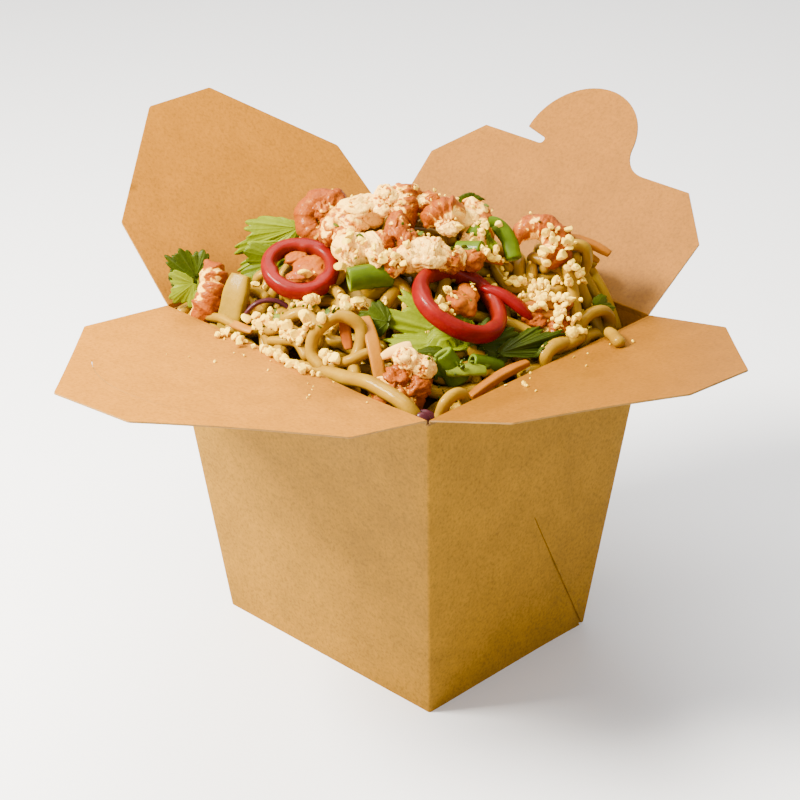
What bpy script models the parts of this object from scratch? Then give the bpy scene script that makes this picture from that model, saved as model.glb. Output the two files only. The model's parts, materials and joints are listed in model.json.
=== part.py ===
"""Noodle takeaway box, open, heaped with fried noodles, prawns and vegetables.

Metres, +Z up.  The origin is the middle of the underside of the box.  The front wall
(-Y) carries the flap with the curved slot, the back wall (+Y) the flap with the locking
tab, and the two side walls (+X and -X) the plain dust flaps.
"""
import math

import bpy
import bmesh
import numpy as np
from mathutils import Matrix, Vector, noise

MM = 0.001

# Folded board box ------------------------------------------------------------------
BOX_HEIGHT = 100.0 * MM
TOP_HALF = (51.5 * MM, 45.5 * MM)       # outside, half width in X and in Y at the rim
BASE_HALF = (41.5 * MM, 33.6 * MM)      # outside, at the base
BOARD = 0.45 * MM                       # thickness of one layer of board
SIDE_LAYERS = 2                         # the side walls are two layers glued together
CORNER_ROUND = 0.5 * MM
SLIT_WIDTH = 0.9 * MM                   # gap where the outer layer of a side wall parts
SLIT_TOP = (3.5 * MM, 50.0 * MM)        # upper end of that gap, in Y and Z

# Flaps ------------------------------------------------------------------------------
CREASE_GAP = 0.35 * MM                  # free edge of a flap to its crease axis
ROOT_INSET = 0.8 * MM                   # a flap is this much shorter than its wall, each end
FLAP_CORNER = 1.6 * MM
SLOT_FLAP = dict(side=29.0 * MM, flare=0.9 * MM, height=68.8 * MM, tip_half=14.5 * MM)
DUST_FLAP = dict(side=27.9 * MM, flare=-1.5 * MM, height=59.2 * MM, tip_half=11.8 * MM)
TAB_FLAP = dict(side=25.3 * MM, flare=1.2 * MM, height=39.4 * MM, tip_half=39.0 * MM)
OPEN_ANGLE = dict(slot=81.0, tab=50.7, dust_right=75.3, dust_left=47.7)   # from upright
TAB_CENTRE = (5.5 * MM, 44.0 * MM)      # in the flap's own X and Y
TAB_RADIUS = 19.0 * MM
TAB_NECK_ROUND = 9.0 * MM
HOOK_DEPTH = 6.8 * MM
HOOK_GAP = 2.4 * MM
HOOK_THICK = 1.6 * MM
SLOT_RADIUS = 42.0 * MM
SLOT_MIDDLE = (-2.0 * MM, 54.5 * MM)    # crown of the curved slot
SLOT_SPAN = 80.0                        # degrees of arc
SLOT_GAP = 0.5 * MM

# Food -------------------------------------------------------------------------------
AIR = 0.4 * MM                          # food to board
RIM_LEVEL = -3.0 * MM                   # food at the walls, measured from the rim
CROWN = 27.5 * MM                       # height of the heap above that
CROWN_AT = (-5.0 * MM, 3.0 * MM)
CROWN_WIDTH = (37.0 * MM, 33.0 * MM)
# Lesser rises and dips: X, Y, height and width in millimetres.
SWELLS = ((33.0, 35.0, 23.0, 11.5), (50.0, 44.0, -20.0, 11.0), (50.0, -44.0, -8.0, 12.0),
          (-50.0, 44.0, -4.0, 12.0), (-36.0, -34.0, 5.0, 12.0),
          (-24.0, 2.0, 5.0, 14.0))
HEAP_CELLS = (34, 30)
RELIEF = 1.3 * MM                       # height of the noodles' unevenness
RELIEF_SIZE = 7.0 * MM
PRESS = 2.3 * MM                        # a topping's hollow is this much wider than it
SEGMENTS = 5                            # rings of a prawn's body
SEGMENT_RIDGE = 0.06
PRAWN_STEPS = 20

COLOURS = {
    "kraft_board": ((0.50, 0.31, 0.11), 0.80),
    "kraft_inside": ((0.62, 0.42, 0.23), 0.75),
    "noodle": ((0.83, 0.60, 0.10), 0.45),
    "prawn_flesh": ((0.86, 0.40, 0.20), 0.40),
    "chilli_red": ((0.62, 0.03, 0.03), 0.25),
    "spring_onion": ((0.20, 0.40, 0.07), 0.45),
    "mango": ((0.82, 0.66, 0.20), 0.40),
    "carrot": ((0.86, 0.33, 0.05), 0.45),
    "red_onion": ((0.33, 0.05, 0.16), 0.35),
}


# Scene and materials ----------------------------------------------------------------
def clear_scene():
    """Remove whatever the scene holds, so that the model stands alone."""
    for item in list(bpy.data.objects):
        bpy.data.objects.remove(item, do_unlink=True)


def make_collection(name):
    """A collection linked to the scene."""
    collection = bpy.data.collections.new(name)
    bpy.context.scene.collection.children.link(collection)
    return collection


def make_material(name):
    """A plain Principled material in one of the object's colours."""
    colour, roughness = COLOURS[name]
    material = bpy.data.materials.new(name)
    material.use_nodes = True
    shader = material.node_tree.nodes["Principled BSDF"]
    shader.inputs["Base Color"].default_value = (*colour, 1.0)
    shader.inputs["Roughness"].default_value = roughness
    shader.inputs["Metallic"].default_value = 0.0
    material.diffuse_color = (*colour, 1.0)
    return material


def add_mesh_object(name, bm, material, collection):
    """Turn a bmesh into a named object."""
    mesh = bpy.data.meshes.new(name)
    bmesh.ops.recalc_face_normals(bm, faces=bm.faces)
    bm.to_mesh(mesh)
    bm.free()
    item = bpy.data.objects.new(name, mesh)
    collection.objects.link(item)
    if material is not None:
        mesh.materials.append(material)
    return item


def subtract(item, cutter):
    """Cut one object by another, which stays in the cutters' collection."""
    cutter.hide_render = True
    cutter.display_type = "WIRE"
    modifier = item.modifiers.new(cutter.name, "BOOLEAN")
    modifier.operation = "DIFFERENCE"
    modifier.object = cutter
    modifier.solver = "EXACT"


# Box --------------------------------------------------------------------------------
def half_size(z):
    """Outside half width of the box in X and Y at the height z, held above the rim."""
    share = min(z / BOX_HEIGHT, 1.0)
    return tuple(b + (t - b) * share for b, t in zip(BASE_HALF, TOP_HALF))


def tapered_block(bottom_z, top_z, inset_x, inset_y):
    """A block whose four sides follow the box's walls, inset by two distances."""
    slope_x = (TOP_HALF[0] - BASE_HALF[0]) / BOX_HEIGHT
    slope_y = (TOP_HALF[1] - BASE_HALF[1]) / BOX_HEIGHT
    bm = bmesh.new()
    bmesh.ops.create_cube(bm, size=2.0)
    for vertex in bm.verts:
        z = top_z if vertex.co.z > 0.0 else bottom_z
        half_x = BASE_HALF[0] + slope_x * z - inset_x
        half_y = BASE_HALF[1] + slope_y * z - inset_y
        vertex.co = Vector((vertex.co.x * half_x, vertex.co.y * half_y, z))
    return bm


def slit_cutter(side, collection):
    """A thin bar along the line where a side wall's outer layer parts."""
    low = Vector((0.0, BASE_HALF[1], 0.0))
    high = Vector((0.0, *SLIT_TOP))
    along = (high - low).normalized()
    low = low - along * 2.0 * MM
    slope = math.atan2(TOP_HALF[0] - BASE_HALF[0], BOX_HEIGHT)
    middle = (low + high) / 2.0
    wall_x = half_size(middle.z)[0]
    bm = bmesh.new()
    bmesh.ops.create_cube(bm, size=1.0)
    length = (high - low).length
    bmesh.ops.scale(bm, vec=(2.0 * BOARD, length, SLIT_WIDTH), verts=bm.verts)
    turn = Matrix.Rotation(math.atan2(along.z, along.y), 4, "X")
    lean = Matrix.Rotation(side * slope, 4, "Y")
    place = Matrix.Translation((side * wall_x, middle.y, middle.z))
    bmesh.ops.transform(bm, matrix=place @ lean @ turn, verts=bm.verts)
    name = "cut_slit_right" if side > 0 else "cut_slit_left"
    return add_mesh_object(name, bm, None, collection)


def make_pail(material, collection, cutters):
    """Walls and base of the folded board box, open at the rim."""
    bm = tapered_block(0.0, BOX_HEIGHT, 0.0, 0.0)
    corners = [e for e in bm.edges if abs(e.verts[0].co.z - e.verts[1].co.z) > MM]
    bmesh.ops.bevel(bm, geom=corners, offset=CORNER_ROUND, segments=2, affect="EDGES")
    pail = add_mesh_object("pail", bm, material, collection)
    inside = tapered_block(BOARD, BOX_HEIGHT + 1.0 * MM, SIDE_LAYERS * BOARD, BOARD)
    subtract(pail, add_mesh_object("cut_inside", inside, None, cutters))
    for side in (1, -1):
        subtract(pail, slit_cutter(side, cutters))
    return pail


# Flaps ------------------------------------------------------------------------------
def rounded(points, radius, steps=4):
    """The closed outline through the points, with each corner turned into an arc."""
    outline = []
    count = len(points)
    for index in range(count):
        corner = Vector(points[index])
        before = (Vector(points[index - 1]) - corner).normalized()
        after = (Vector(points[(index + 1) % count]) - corner).normalized()
        half = before.angle(after) / 2.0
        reach = radius / math.tan(half)
        centre = corner + (before + after).normalized() * (radius / math.sin(half))
        start = corner + before * reach - centre
        sweep = start.angle_signed(corner + after * reach - centre)
        for step in range(steps + 1):
            outline.append(centre + Matrix.Rotation(-sweep * step / steps, 2) @ start)
    return [tuple(point) for point in outline]


def arc(centre, radius, start, end, steps):
    """Points on a circle from one angle to another, in degrees."""
    angles = [math.radians(start + (end - start) * i / steps) for i in range(steps + 1)]
    return [(centre[0] + radius * math.cos(a), centre[1] + radius * math.sin(a)) for a in angles]


def flap_corners(root_half, shape):
    """The six corners of a flap, root edge first, from its right-hand end round."""
    wide = root_half + shape["flare"]
    tip = shape["tip_half"]
    side = shape["side"]
    height = shape["height"]
    return [(root_half, CREASE_GAP), (wide, side), (tip, height),
            (-tip, height), (-wide, side), (-root_half, CREASE_GAP)]


def tab_outline(root_half):
    """The back flap's outline: a six-sided panel whose far edge carries the round tab.

    The tab is one circle.  On one side it ends in a hook over a narrow undercut, and on
    the other it runs down into the edge through a hollow round.
    """
    corners = flap_corners(root_half, TAB_FLAP)
    edge = TAB_FLAP["height"]
    cx, cy = TAB_CENTRE
    hook_y = edge + HOOK_GAP + HOOK_THICK
    hook_angle = math.degrees(math.asin((hook_y - cy) / TAB_RADIUS))
    hook_x = cx + TAB_RADIUS * math.cos(math.radians(hook_angle))
    undercut = (hook_x - HOOK_DEPTH, edge + HOOK_GAP / 2.0)
    neck_y = edge + TAB_NECK_ROUND
    neck_x = cx - math.sqrt((TAB_RADIUS + TAB_NECK_ROUND) ** 2 - (neck_y - cy) ** 2)
    meet = math.degrees(math.atan2(neck_y - cy, neck_x - cx))
    outline = corners[:3]
    outline += arc(undercut, HOOK_GAP / 2.0, 270.0, 90.0, 5)
    outline += arc((cx, cy), TAB_RADIUS, hook_angle, meet % 360.0, 24)
    outline += arc((neck_x, neck_y), TAB_NECK_ROUND, (meet + 180.0) % 360.0 - 360.0, -90.0, 8)[1:]
    outline += corners[3:]
    return outline


def slot_outline():
    """The curved slot: out along one arc and back along the next."""
    centre = (SLOT_MIDDLE[0], SLOT_MIDDLE[1] - SLOT_RADIUS)
    start = 90.0 + SLOT_SPAN / 2.0
    end = 90.0 - SLOT_SPAN / 2.0
    outer = arc(centre, SLOT_RADIUS + SLOT_GAP / 2.0, start, end, 16)
    inner = arc(centre, SLOT_RADIUS - SLOT_GAP / 2.0, end, start, 16)
    return outer + inner


def make_flap(name, outlines, hinge_at, outward, angle, material, collection):
    """A flat board outline on an empty that lies on the flap's crease.

    The empty's X runs along the crease, its Y out over the flap, and its Z away from the
    food.  The board lies on the food's side of the crease axis, so that the flap can fold
    right down outside the wall.
    """
    curve = bpy.data.curves.new(name, "CURVE")
    curve.dimensions = "2D"
    curve.fill_mode = "BOTH"
    curve.extrude = BOARD / 2.0
    for outline in outlines:
        spline = curve.splines.new("POLY")
        spline.points.add(len(outline) - 1)
        for point, (x, y) in zip(spline.points, outline):
            point.co = (x, y, 0.0, 1.0)
        spline.use_cyclic_u = True
    flap = bpy.data.objects.new(name, curve)
    collection.objects.link(flap)
    curve.materials.append(material)
    lean = math.radians(angle)
    out = Vector((*outward, 0.0))
    along = Vector((-out.y, out.x, 0.0))
    up = Vector((0.0, 0.0, 1.0))
    over = out * math.sin(lean) + up * math.cos(lean)
    outer = along.cross(over)
    turn = Matrix((along, over, outer)).transposed()
    hinge = bpy.data.objects.new("hinge_" + name, None)
    collection.objects.link(hinge)
    hinge.matrix_world = Matrix.Translation(hinge_at) @ turn.to_4x4()
    hinge.empty_display_size = 10.0 * MM
    flap.parent = hinge
    flap.location = (0.0, 0.0, -BOARD / 2.0)
    return flap


def make_flaps(material, collection):
    """The four closing flaps, standing open."""
    half_x, half_y = TOP_HALF
    rim = BOX_HEIGHT
    wide = half_x - ROOT_INSET
    narrow = half_y - ROOT_INSET
    slot_panel = rounded(flap_corners(wide, SLOT_FLAP), FLAP_CORNER)
    dust_panel = rounded(flap_corners(narrow, DUST_FLAP), FLAP_CORNER)
    make_flap("flap_slot", [slot_panel, slot_outline()], (0.0, -half_y, rim), (0.0, -1.0),
              OPEN_ANGLE["slot"], material, collection)
    make_flap("flap_tab", [tab_outline(wide)], (0.0, half_y, rim), (0.0, 1.0),
              OPEN_ANGLE["tab"], material, collection)
    make_flap("flap_dust_right", [dust_panel], (half_x, 0.0, rim), (1.0, 0.0),
              OPEN_ANGLE["dust_right"], material, collection)
    make_flap("flap_dust_left", [dust_panel], (-half_x, 0.0, rim), (-1.0, 0.0),
              OPEN_ANGLE["dust_left"], material, collection)


# Food -------------------------------------------------------------------------------
def heap_height(x, y):
    """Height of the smooth heap at a place: a broad crown, with dips at the corners."""
    across = ((x - CROWN_AT[0]) / CROWN_WIDTH[0]) ** 2
    along = ((y - CROWN_AT[1]) / CROWN_WIDTH[1]) ** 2
    height = BOX_HEIGHT + RIM_LEVEL + CROWN * np.exp(-(across + along) ** 1.3)
    for swell_x, swell_y, rise, width in SWELLS:
        away = (x - swell_x * MM) ** 2 + (y - swell_y * MM) ** 2
        height = height + rise * MM * np.exp(-away / (2.0 * (width * MM) ** 2))
    return height


def on_heap(x, y, lift):
    """A point the given lift above the smooth heap; all three in millimetres."""
    return Vector((x * MM, y * MM, float(heap_height(x * MM, y * MM)) + lift * MM))


def solid_tube(name, path, radii, material, collection, sides=2):
    """A round bar of varying thickness along a path: a curve with a bevel, made a mesh."""
    curve = bpy.data.curves.new(name, "CURVE")
    curve.dimensions = "3D"
    curve.bevel_depth = 1.0
    curve.bevel_resolution = sides
    curve.use_fill_caps = True
    spline = curve.splines.new("POLY")
    spline.points.add(len(path) - 1)
    for point, place, radius in zip(spline.points, path, radii):
        point.co = (*place, 1.0)
        point.radius = radius
    source = bpy.data.objects.new(name + "_path", curve)
    collection.objects.link(source)
    evaluated = source.evaluated_get(bpy.context.evaluated_depsgraph_get())
    mesh = bpy.data.meshes.new_from_object(evaluated)
    bpy.data.objects.remove(source, do_unlink=True)
    bm = bmesh.new()
    bm.from_mesh(mesh)
    bpy.data.meshes.remove(mesh)
    bmesh.ops.remove_doubles(bm, verts=bm.verts, dist=0.00001)
    item = add_mesh_object(name, bm, material, collection)
    for polygon in item.data.polygons:
        polygon.use_smooth = True
    return item


def placed(points, centre, spin, tilt, heading):
    """Spin a path in its own plane, tip it towards the heading, and move it to its place."""
    turn = Matrix.Rotation(math.radians(heading), 3, "Z")
    turn = turn @ Matrix.Rotation(math.radians(tilt), 3, "Y")
    turn = turn @ Matrix.Rotation(math.radians(spin), 3, "Z")
    return [centre + turn @ point for point in points]


def curl(radius, sweep, steps, close=1.0):
    """A flat hook: an arc whose radius shrinks to the share close."""
    points = []
    for index in range(steps + 1):
        share = index / steps
        angle = math.radians(sweep) * share
        reach = radius * (1.0 + (close - 1.0) * share)
        points.append(Vector((math.cos(angle), math.sin(angle), 0.0)) * reach)
    middle = sum(points, Vector()) / len(points)
    return [point - middle for point in points]


def rod(length, bow, steps):
    """A nearly straight path along X that bows up by the given height."""
    points = []
    for index in range(steps + 1):
        share = index / steps - 0.5
        points.append(Vector((length * share, 0.0, bow * (1.0 - 4.0 * share ** 2))))
    return points


def body_radii(thick, count, tail):
    """Thickness along a prawn: a blunt head end, ridged segments and a thinner tail."""
    radii = []
    for index in range(count):
        share = index / (count - 1)
        blunt = min(1.0, 0.50 + 4.0 * share)
        taper = 1.0 - (1.0 - tail) * share ** 1.6
        round_end = min(1.0, 0.40 + 5.0 * (1.0 - share))
        ridge = 1.0 + SEGMENT_RIDGE * math.cos(2.0 * math.pi * SEGMENTS * share)
        radii.append(thick * blunt * taper * round_end * ridge)
    return radii


# Each row: name, x, y, lift, curl radius, sweep, thickness, tail, spin, tilt, heading.
# Millimetres and degrees.
PRAWNS = (
    ("prawn_front", 33.5, -33.0, 3.5, 5.0, 200.0, 5.2, 0.60, -60.0, 60.0, -40.0),
    ("prawn_left", -40.5, -38.0, 4.0, 13.0, 70.0, 4.4, 0.70, 40.0, 60.0, -50.0),
    ("prawn_crown_left", -25.5, -9.5, 5.0, 6.0, 250.0, 4.2, 0.50, 130.0, 42.0, -46.0),
    ("prawn_crown_tail", -11.5, -12.5, 5.5, 10.0, 100.0, 4.8, 0.50, 150.0, 50.0, -46.0),
    ("prawn_flake", 0.0, -16.5, 6.0, 12.0, 60.0, 5.2, 0.90, -30.0, 40.0, -46.0),
    ("prawn_crown", -2.0, 0.0, 6.0, 9.0, 80.0, 4.8, 0.70, 40.0, 50.0, -46.0),
    ("prawn_crown_right", 13.0, 13.0, 7.0, 8.0, 150.0, 4.4, 0.55, 20.0, 45.0, -46.0),
    ("prawn_crown_fold", 8.3, 4.0, 7.0, 8.0, 75.0, 4.2, 0.70, 160.0, 40.0, -46.0),
    ("prawn_middle", 13.0, -9.5, 5.5, 12.0, 70.0, 5.0, 0.70, 150.0, 30.0, -46.0),
    ("prawn_back", 27.5, 24.5, 5.5, 6.0, 220.0, 4.4, 0.55, 45.0, 45.0, -46.0),
)


def make_prawns(material, collection):
    """Peeled prawns curled on and in the heap."""
    made = []
    for row in PRAWNS:
        name, x, y, lift, radius, sweep, thick, tail, spin, tilt, heading = row
        path = curl(radius * MM, sweep, PRAWN_STEPS, 0.8)
        path = placed(path, on_heap(x, y, lift), spin, tilt, heading)
        radii = body_radii(thick * MM, len(path), tail)
        made.append((solid_tube(name, path, radii, material, collection), path, radii))
    return made


# Each row: name, material, x, y, lift, shape, size, sweep or bow, thickness, spin, tilt, heading.
STRIPS = (
    ("chilli_ring_left", "chilli_red", -16.5, -25.5, 5.0, "ring", 8.8, 346.0, 2.3, 90.0, 22.0, -46.0),
    ("chilli_ring_right", "chilli_red", 28.0, -8.5, 6.0, "ring", 11.5, 322.0, 2.3, 62.0, 24.0, -46.0),
    ("chilli_strip", "chilli_red", 37.0, 8.0, 3.0, "rod", 14.0, 1.0, 2.1, 0.0, 8.0, -15.0),
    ("spring_onion_middle", "spring_onion", 7.0, -22.0, 4.0, "rod", 12.0, 0.0, 3.6, 0.0, 0.0, 60.0),
    ("spring_onion_back", "spring_onion", 19.0, 3.5, 4.5, "rod", 7.0, 0.0, 2.9, 0.0, -10.0, 20.0),
    ("spring_onion_curved", "spring_onion", 24.0, 12.0, 4.5, "ring", 7.0, 110.0, 2.6, -30.0, 40.0, -46.0),
    ("spring_onion_front", "spring_onion", 37.0, -22.0, 3.5, "rod", 9.0, 0.0, 3.5, 0.0, 60.0, 40.0),
    ("spring_onion_small", "spring_onion", 41.0, -12.0, 1.2, "rod", 9.0, 0.0, 2.4, 0.0, 20.0, 70.0),
    ("mango_stick", "mango", -30.0, -37.0, 3.0, "rod", 18.0, 0.0, 4.0, 0.0, -68.0, 100.0),
    ("carrot_front", "carrot", 47.0, -13.4, 1.0, "rod", 20.0, 1.0, 1.6, 0.0, -12.0, 82.0),
    ("carrot_ribbon", "carrot", 20.0, -31.5, 5.0, "rod", 21.0, 2.0, 1.9, 0.0, 40.0, -30.0),
    ("carrot_back", "carrot", 35.8, 36.3, 5.6, "rod", 12.0, 0.5, 1.6, 0.0, 15.0, 20.0),
    ("red_onion_arc", "red_onion", -19.0, -35.0, 2.5, "ring", 7.5, 140.0, 1.5, 110.0, 70.0, -46.0),
)


def make_strips(materials, collection):
    """Chilli rings, spring onion, carrot, mango and red onion pieces."""
    made = []
    for row in STRIPS:
        name, finish, x, y, lift, shape, size, bend, thick, spin, tilt, heading = row
        if shape == "ring":
            path = curl(size * MM, bend, 20 if bend > 180.0 else 10)
        else:
            path = rod(size * MM, bend * MM, 4)
        path = placed(path, on_heap(x, y, lift), spin, tilt, heading)
        radii = [thick * MM] * len(path)
        item = solid_tube(name, path, radii, materials[finish], collection, sides=1)
        made.append((item, path, radii))
    return made


def make_heap(toppings, material, collection):
    """The heaped noodles: a block that fills the box, with an uneven crown.

    The top is a grid.  Each point's height is the smooth heap, plus noise, pressed down
    where a topping lies over it.  The grid's rim runs straight down the walls to the base.
    """
    columns, rows = HEAP_CELLS
    bm = bmesh.new()
    bmesh.ops.create_grid(bm, x_segments=columns, y_segments=rows, size=1.0)
    centres = np.array([tuple(point) for _, path, _ in toppings for point in dense(path)])
    reaches = np.array([radius + PRESS for _, _, radii in toppings for radius in dense(radii)])
    inner = [h - 2.0 * BOARD - AIR for h in TOP_HALF]
    for vertex in bm.verts:
        x, y = vertex.co.x * inner[0], vertex.co.y * inner[1]
        z = float(heap_height(x, y))
        z += RELIEF * noise.noise(Vector((x, y, 0.0)) / RELIEF_SIZE)
        away = (centres[:, 0] - x) ** 2 + (centres[:, 1] - y) ** 2
        over = away < reaches ** 2
        if over.any():
            under = centres[over, 2] - np.sqrt(reaches[over] ** 2 - away[over])
            z = min(z, float(under.min()))
        outer = half_size(z)
        vertex.co.x *= outer[0] - SIDE_LAYERS * BOARD - AIR
        vertex.co.y *= outer[1] - BOARD - AIR
        vertex.co.z = z
    edge = [e for e in bm.edges if e.is_boundary]
    skirt = bmesh.ops.extrude_edge_only(bm, edges=edge)["geom"]
    floor = BOARD + AIR
    base = half_size(floor)
    for vertex in [g for g in skirt if isinstance(g, bmesh.types.BMVert)]:
        share_x = vertex.co.x / (half_size(vertex.co.z)[0] - SIDE_LAYERS * BOARD - AIR)
        share_y = vertex.co.y / (half_size(vertex.co.z)[1] - BOARD - AIR)
        vertex.co.x = share_x * (base[0] - SIDE_LAYERS * BOARD - AIR)
        vertex.co.y = share_y * (base[1] - BOARD - AIR)
        vertex.co.z = floor
    rim = [e for e in bm.edges if e.is_boundary]
    bmesh.ops.edgeloop_fill(bm, edges=rim)
    return add_mesh_object("noodle_heap", bm, material, collection)


def dense(values, steps=3):
    """Values with extra ones put in between each neighbouring pair."""
    filled = []
    for first, second in zip(values[:-1], values[1:]):
        filled += [first + (second - first) * (step / steps) for step in range(steps)]
    return filled + [values[-1]]


def main():
    clear_scene()
    box = make_collection("noodle_takeaway_box")
    cutters = make_collection("cutters")
    materials = {name: make_material(name) for name in COLOURS}
    make_pail(materials["kraft_board"], box, cutters)
    make_flaps(materials["kraft_inside"], box)
    toppings = make_prawns(materials["prawn_flesh"], box)
    toppings += make_strips(materials, box)
    make_heap(toppings, materials["noodle"], box)


main()
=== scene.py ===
"""Looks of an open folded board noodle box, heaped with fried noodles, prawns and vegetables.

Metres in the meshes and millimetres in the tables below.  The box stands on the origin;
-Y carries the flap with the curved slot and +Y the one with the round locking tab.
"""
import json
import math

import bpy
import numpy as np
from bpy.props import FloatProperty, FloatVectorProperty, IntProperty, PointerProperty
from bpy.types import Operator, Panel, PropertyGroup
from mathutils import Matrix, Vector, geometry

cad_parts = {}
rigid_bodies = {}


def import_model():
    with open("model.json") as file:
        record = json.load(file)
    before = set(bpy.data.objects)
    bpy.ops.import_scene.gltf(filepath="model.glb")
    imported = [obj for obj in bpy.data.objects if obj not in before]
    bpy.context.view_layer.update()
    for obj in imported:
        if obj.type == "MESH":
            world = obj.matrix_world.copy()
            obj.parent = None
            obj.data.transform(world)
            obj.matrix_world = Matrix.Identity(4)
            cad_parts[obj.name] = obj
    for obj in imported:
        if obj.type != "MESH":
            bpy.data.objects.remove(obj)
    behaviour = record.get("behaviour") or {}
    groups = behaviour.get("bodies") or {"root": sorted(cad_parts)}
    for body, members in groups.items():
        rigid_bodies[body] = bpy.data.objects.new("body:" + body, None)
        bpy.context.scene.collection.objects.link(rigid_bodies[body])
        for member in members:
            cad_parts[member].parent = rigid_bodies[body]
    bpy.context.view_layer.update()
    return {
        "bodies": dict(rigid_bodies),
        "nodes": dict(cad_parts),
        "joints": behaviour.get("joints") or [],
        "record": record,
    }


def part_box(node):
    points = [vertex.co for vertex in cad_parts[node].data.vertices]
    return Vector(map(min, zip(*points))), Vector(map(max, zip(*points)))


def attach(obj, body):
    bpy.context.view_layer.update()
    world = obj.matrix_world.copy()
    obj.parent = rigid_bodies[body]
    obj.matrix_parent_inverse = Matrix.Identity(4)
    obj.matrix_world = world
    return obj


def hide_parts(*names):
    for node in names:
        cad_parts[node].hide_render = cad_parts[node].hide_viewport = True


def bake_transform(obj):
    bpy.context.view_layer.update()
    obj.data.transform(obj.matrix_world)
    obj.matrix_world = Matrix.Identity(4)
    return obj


bl_info = {
    "name": "Noodle Takeaway Box",
    "version": (1, 0, 0),
    "blender": (4, 5, 0),
    "location": "View3D > Sidebar > Noodle Box",
    "description": "Builds the folded board box, its noodles, prawns, vegetables and stage",
    "category": "Object",
}

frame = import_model()

MM = 0.001
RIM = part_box("pail")[1].z / MM
TOP_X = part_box("pail")[1].x / MM
TOP_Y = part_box("pail")[1].y / MM
BASE_X = 41.5                       # outside half widths at the base
BASE_Y = 33.6
BOARD = 0.45
SIDE_LAYERS = 2                     # the side walls are two boards thick

# The smooth heap: a broad crown, and lesser rises and dips (x, y, height, width).
RIM_LEVEL = -3.0
CROWN = 27.5
CROWN_AT = (-5.0, 3.0)
CROWN_WIDTH = (37.0, 33.0)
SWELLS = ((33.0, 35.0, 23.0, 11.5), (50.0, 44.0, -20.0, 11.0), (50.0, -44.0, -8.0, 12.0),
          (-50.0, 44.0, -4.0, 12.0), (-36.0, -34.0, 5.0, 12.0), (-24.0, 2.0, 5.0, 14.0))


# Settings ---------------------------------------------------------------------------
def colour_setting(name, words, value):
    """A colour setting with its default."""
    return FloatVectorProperty(name=name, description=words, subtype="COLOR", size=3,
                               min=0.0, max=1.0, default=value)


class BoxSettings(PropertyGroup):
    """Board of the folded box."""
    inside: colour_setting("Inside", "Colour of the board's inner face", (0.40, 0.152, 0.0))
    outside: colour_setting("Outside", "Colour of the board's outer face", (0.265, 0.122, 0.0))
    edge: colour_setting("Cut edge", "Colour of the board's cut edges", (0.36, 0.19, 0.05))
    bulge: FloatProperty(name="Bulge", description="How far the food pushes the front wall out",
                         default=1.0, min=0.0, max=5.0)


class NoodleSettings(PropertyGroup):
    """Egg noodles."""
    radius: FloatProperty(name="Radius", description="Half thickness of a noodle, in millimetres",
                          default=1.6, min=0.8, max=3.0)
    count: IntProperty(name="Count", description="Number of noodles in the heap",
                       default=170, min=20, max=300)
    colour: colour_setting("Noodle", "Colour of an oily egg noodle", (0.29, 0.152, 0.0))
    shade: colour_setting("Shade", "Colour of the darker noodles", (0.21, 0.100, 0.0))


class ToppingSettings(PropertyGroup):
    """Toppings."""
    prawn_white: colour_setting("Prawn flesh", "Colour of a cooked prawn's flesh", (0.97, 0.58, 0.10))
    prawn_red: colour_setting("Prawn band", "Colour of a prawn's bands", (0.23, 0.042, 0.0))
    chilli: colour_setting("Chilli", "Colour of a chilli's skin", (0.16, 0.001, 0.001))
    leaf_dark: colour_setting("Dark leaf", "Colour of a shaded leaf", (0.015, 0.024, 0.0))
    leaf_light: colour_setting("Light leaf", "Colour of a lit leaf", (0.16, 0.20, 0.0))
    nut: colour_setting("Nut", "Colour of the chopped nuts", (0.98, 0.70, 0.06))


class StageSettings(PropertyGroup):
    """Camera, floor and light."""
    lens: FloatProperty(name="Lens", description="Focal length in millimetres", default=104.33,
                        min=20.0, max=300.0)
    floor: colour_setting("Floor", "Colour of the floor", (0.93, 0.95, 1.0))
    power: FloatProperty(name="Key power", description="Strength of the main light in watts",
                         default=27.0, min=0.0, max=100.0, subtype="POWER")


# Arrays and meshes ------------------------------------------------------------------
def unit(vectors):
    """Vectors divided by their length."""
    return vectors / np.maximum(np.linalg.norm(vectors, axis=-1, keepdims=True), 1e-12)


def smooth_step(low, high, values):
    """0 below low, 1 above high, and a smooth rise between."""
    share = np.clip((values - low) / (high - low), 0.0, 1.0)
    return share * share * (3.0 - 2.0 * share)


def waves(points, size, seed, octaves=3):
    """Smooth noise in -1 to 1: sums of sines along random directions, halved per octave."""
    draw = np.random.default_rng(seed)
    points = np.asarray(points, float)
    total = np.zeros(points.shape[:-1])
    for octave in range(octaves):
        turns = draw.normal(size=(5, points.shape[-1])) * (2.0 ** octave) * 2.2 / size
        phases = draw.uniform(0.0, 2.0 * math.pi, 5)
        total += np.sin(points @ turns.T + phases).mean(-1) * 0.6 ** octave
    return total


def through(points, count):
    """An evenly spaced smooth curve through points: cubic pieces whose slopes join neighbours."""
    points = np.asarray(points, float)
    steps = np.linalg.norm(np.diff(points, axis=0), axis=1)
    knots = np.concatenate([[0.0], np.cumsum(steps)])
    slopes = np.gradient(points, knots, axis=0)
    fine = np.linspace(0.0, knots[-1], count * 4)
    index = np.clip(np.searchsorted(knots, fine, side="right") - 1, 0, len(steps) - 1)
    share = ((fine - knots[index]) / steps[index])[:, None]
    span = steps[index][:, None]
    curve = ((1.0 + 2.0 * share) * (1.0 - share) ** 2 * points[index]
             + share * (1.0 - share) ** 2 * span * slopes[index]
             + share ** 2 * (3.0 - 2.0 * share) * points[index + 1]
             + share ** 2 * (share - 1.0) * span * slopes[index + 1])
    return evenly(curve, count)


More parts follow.
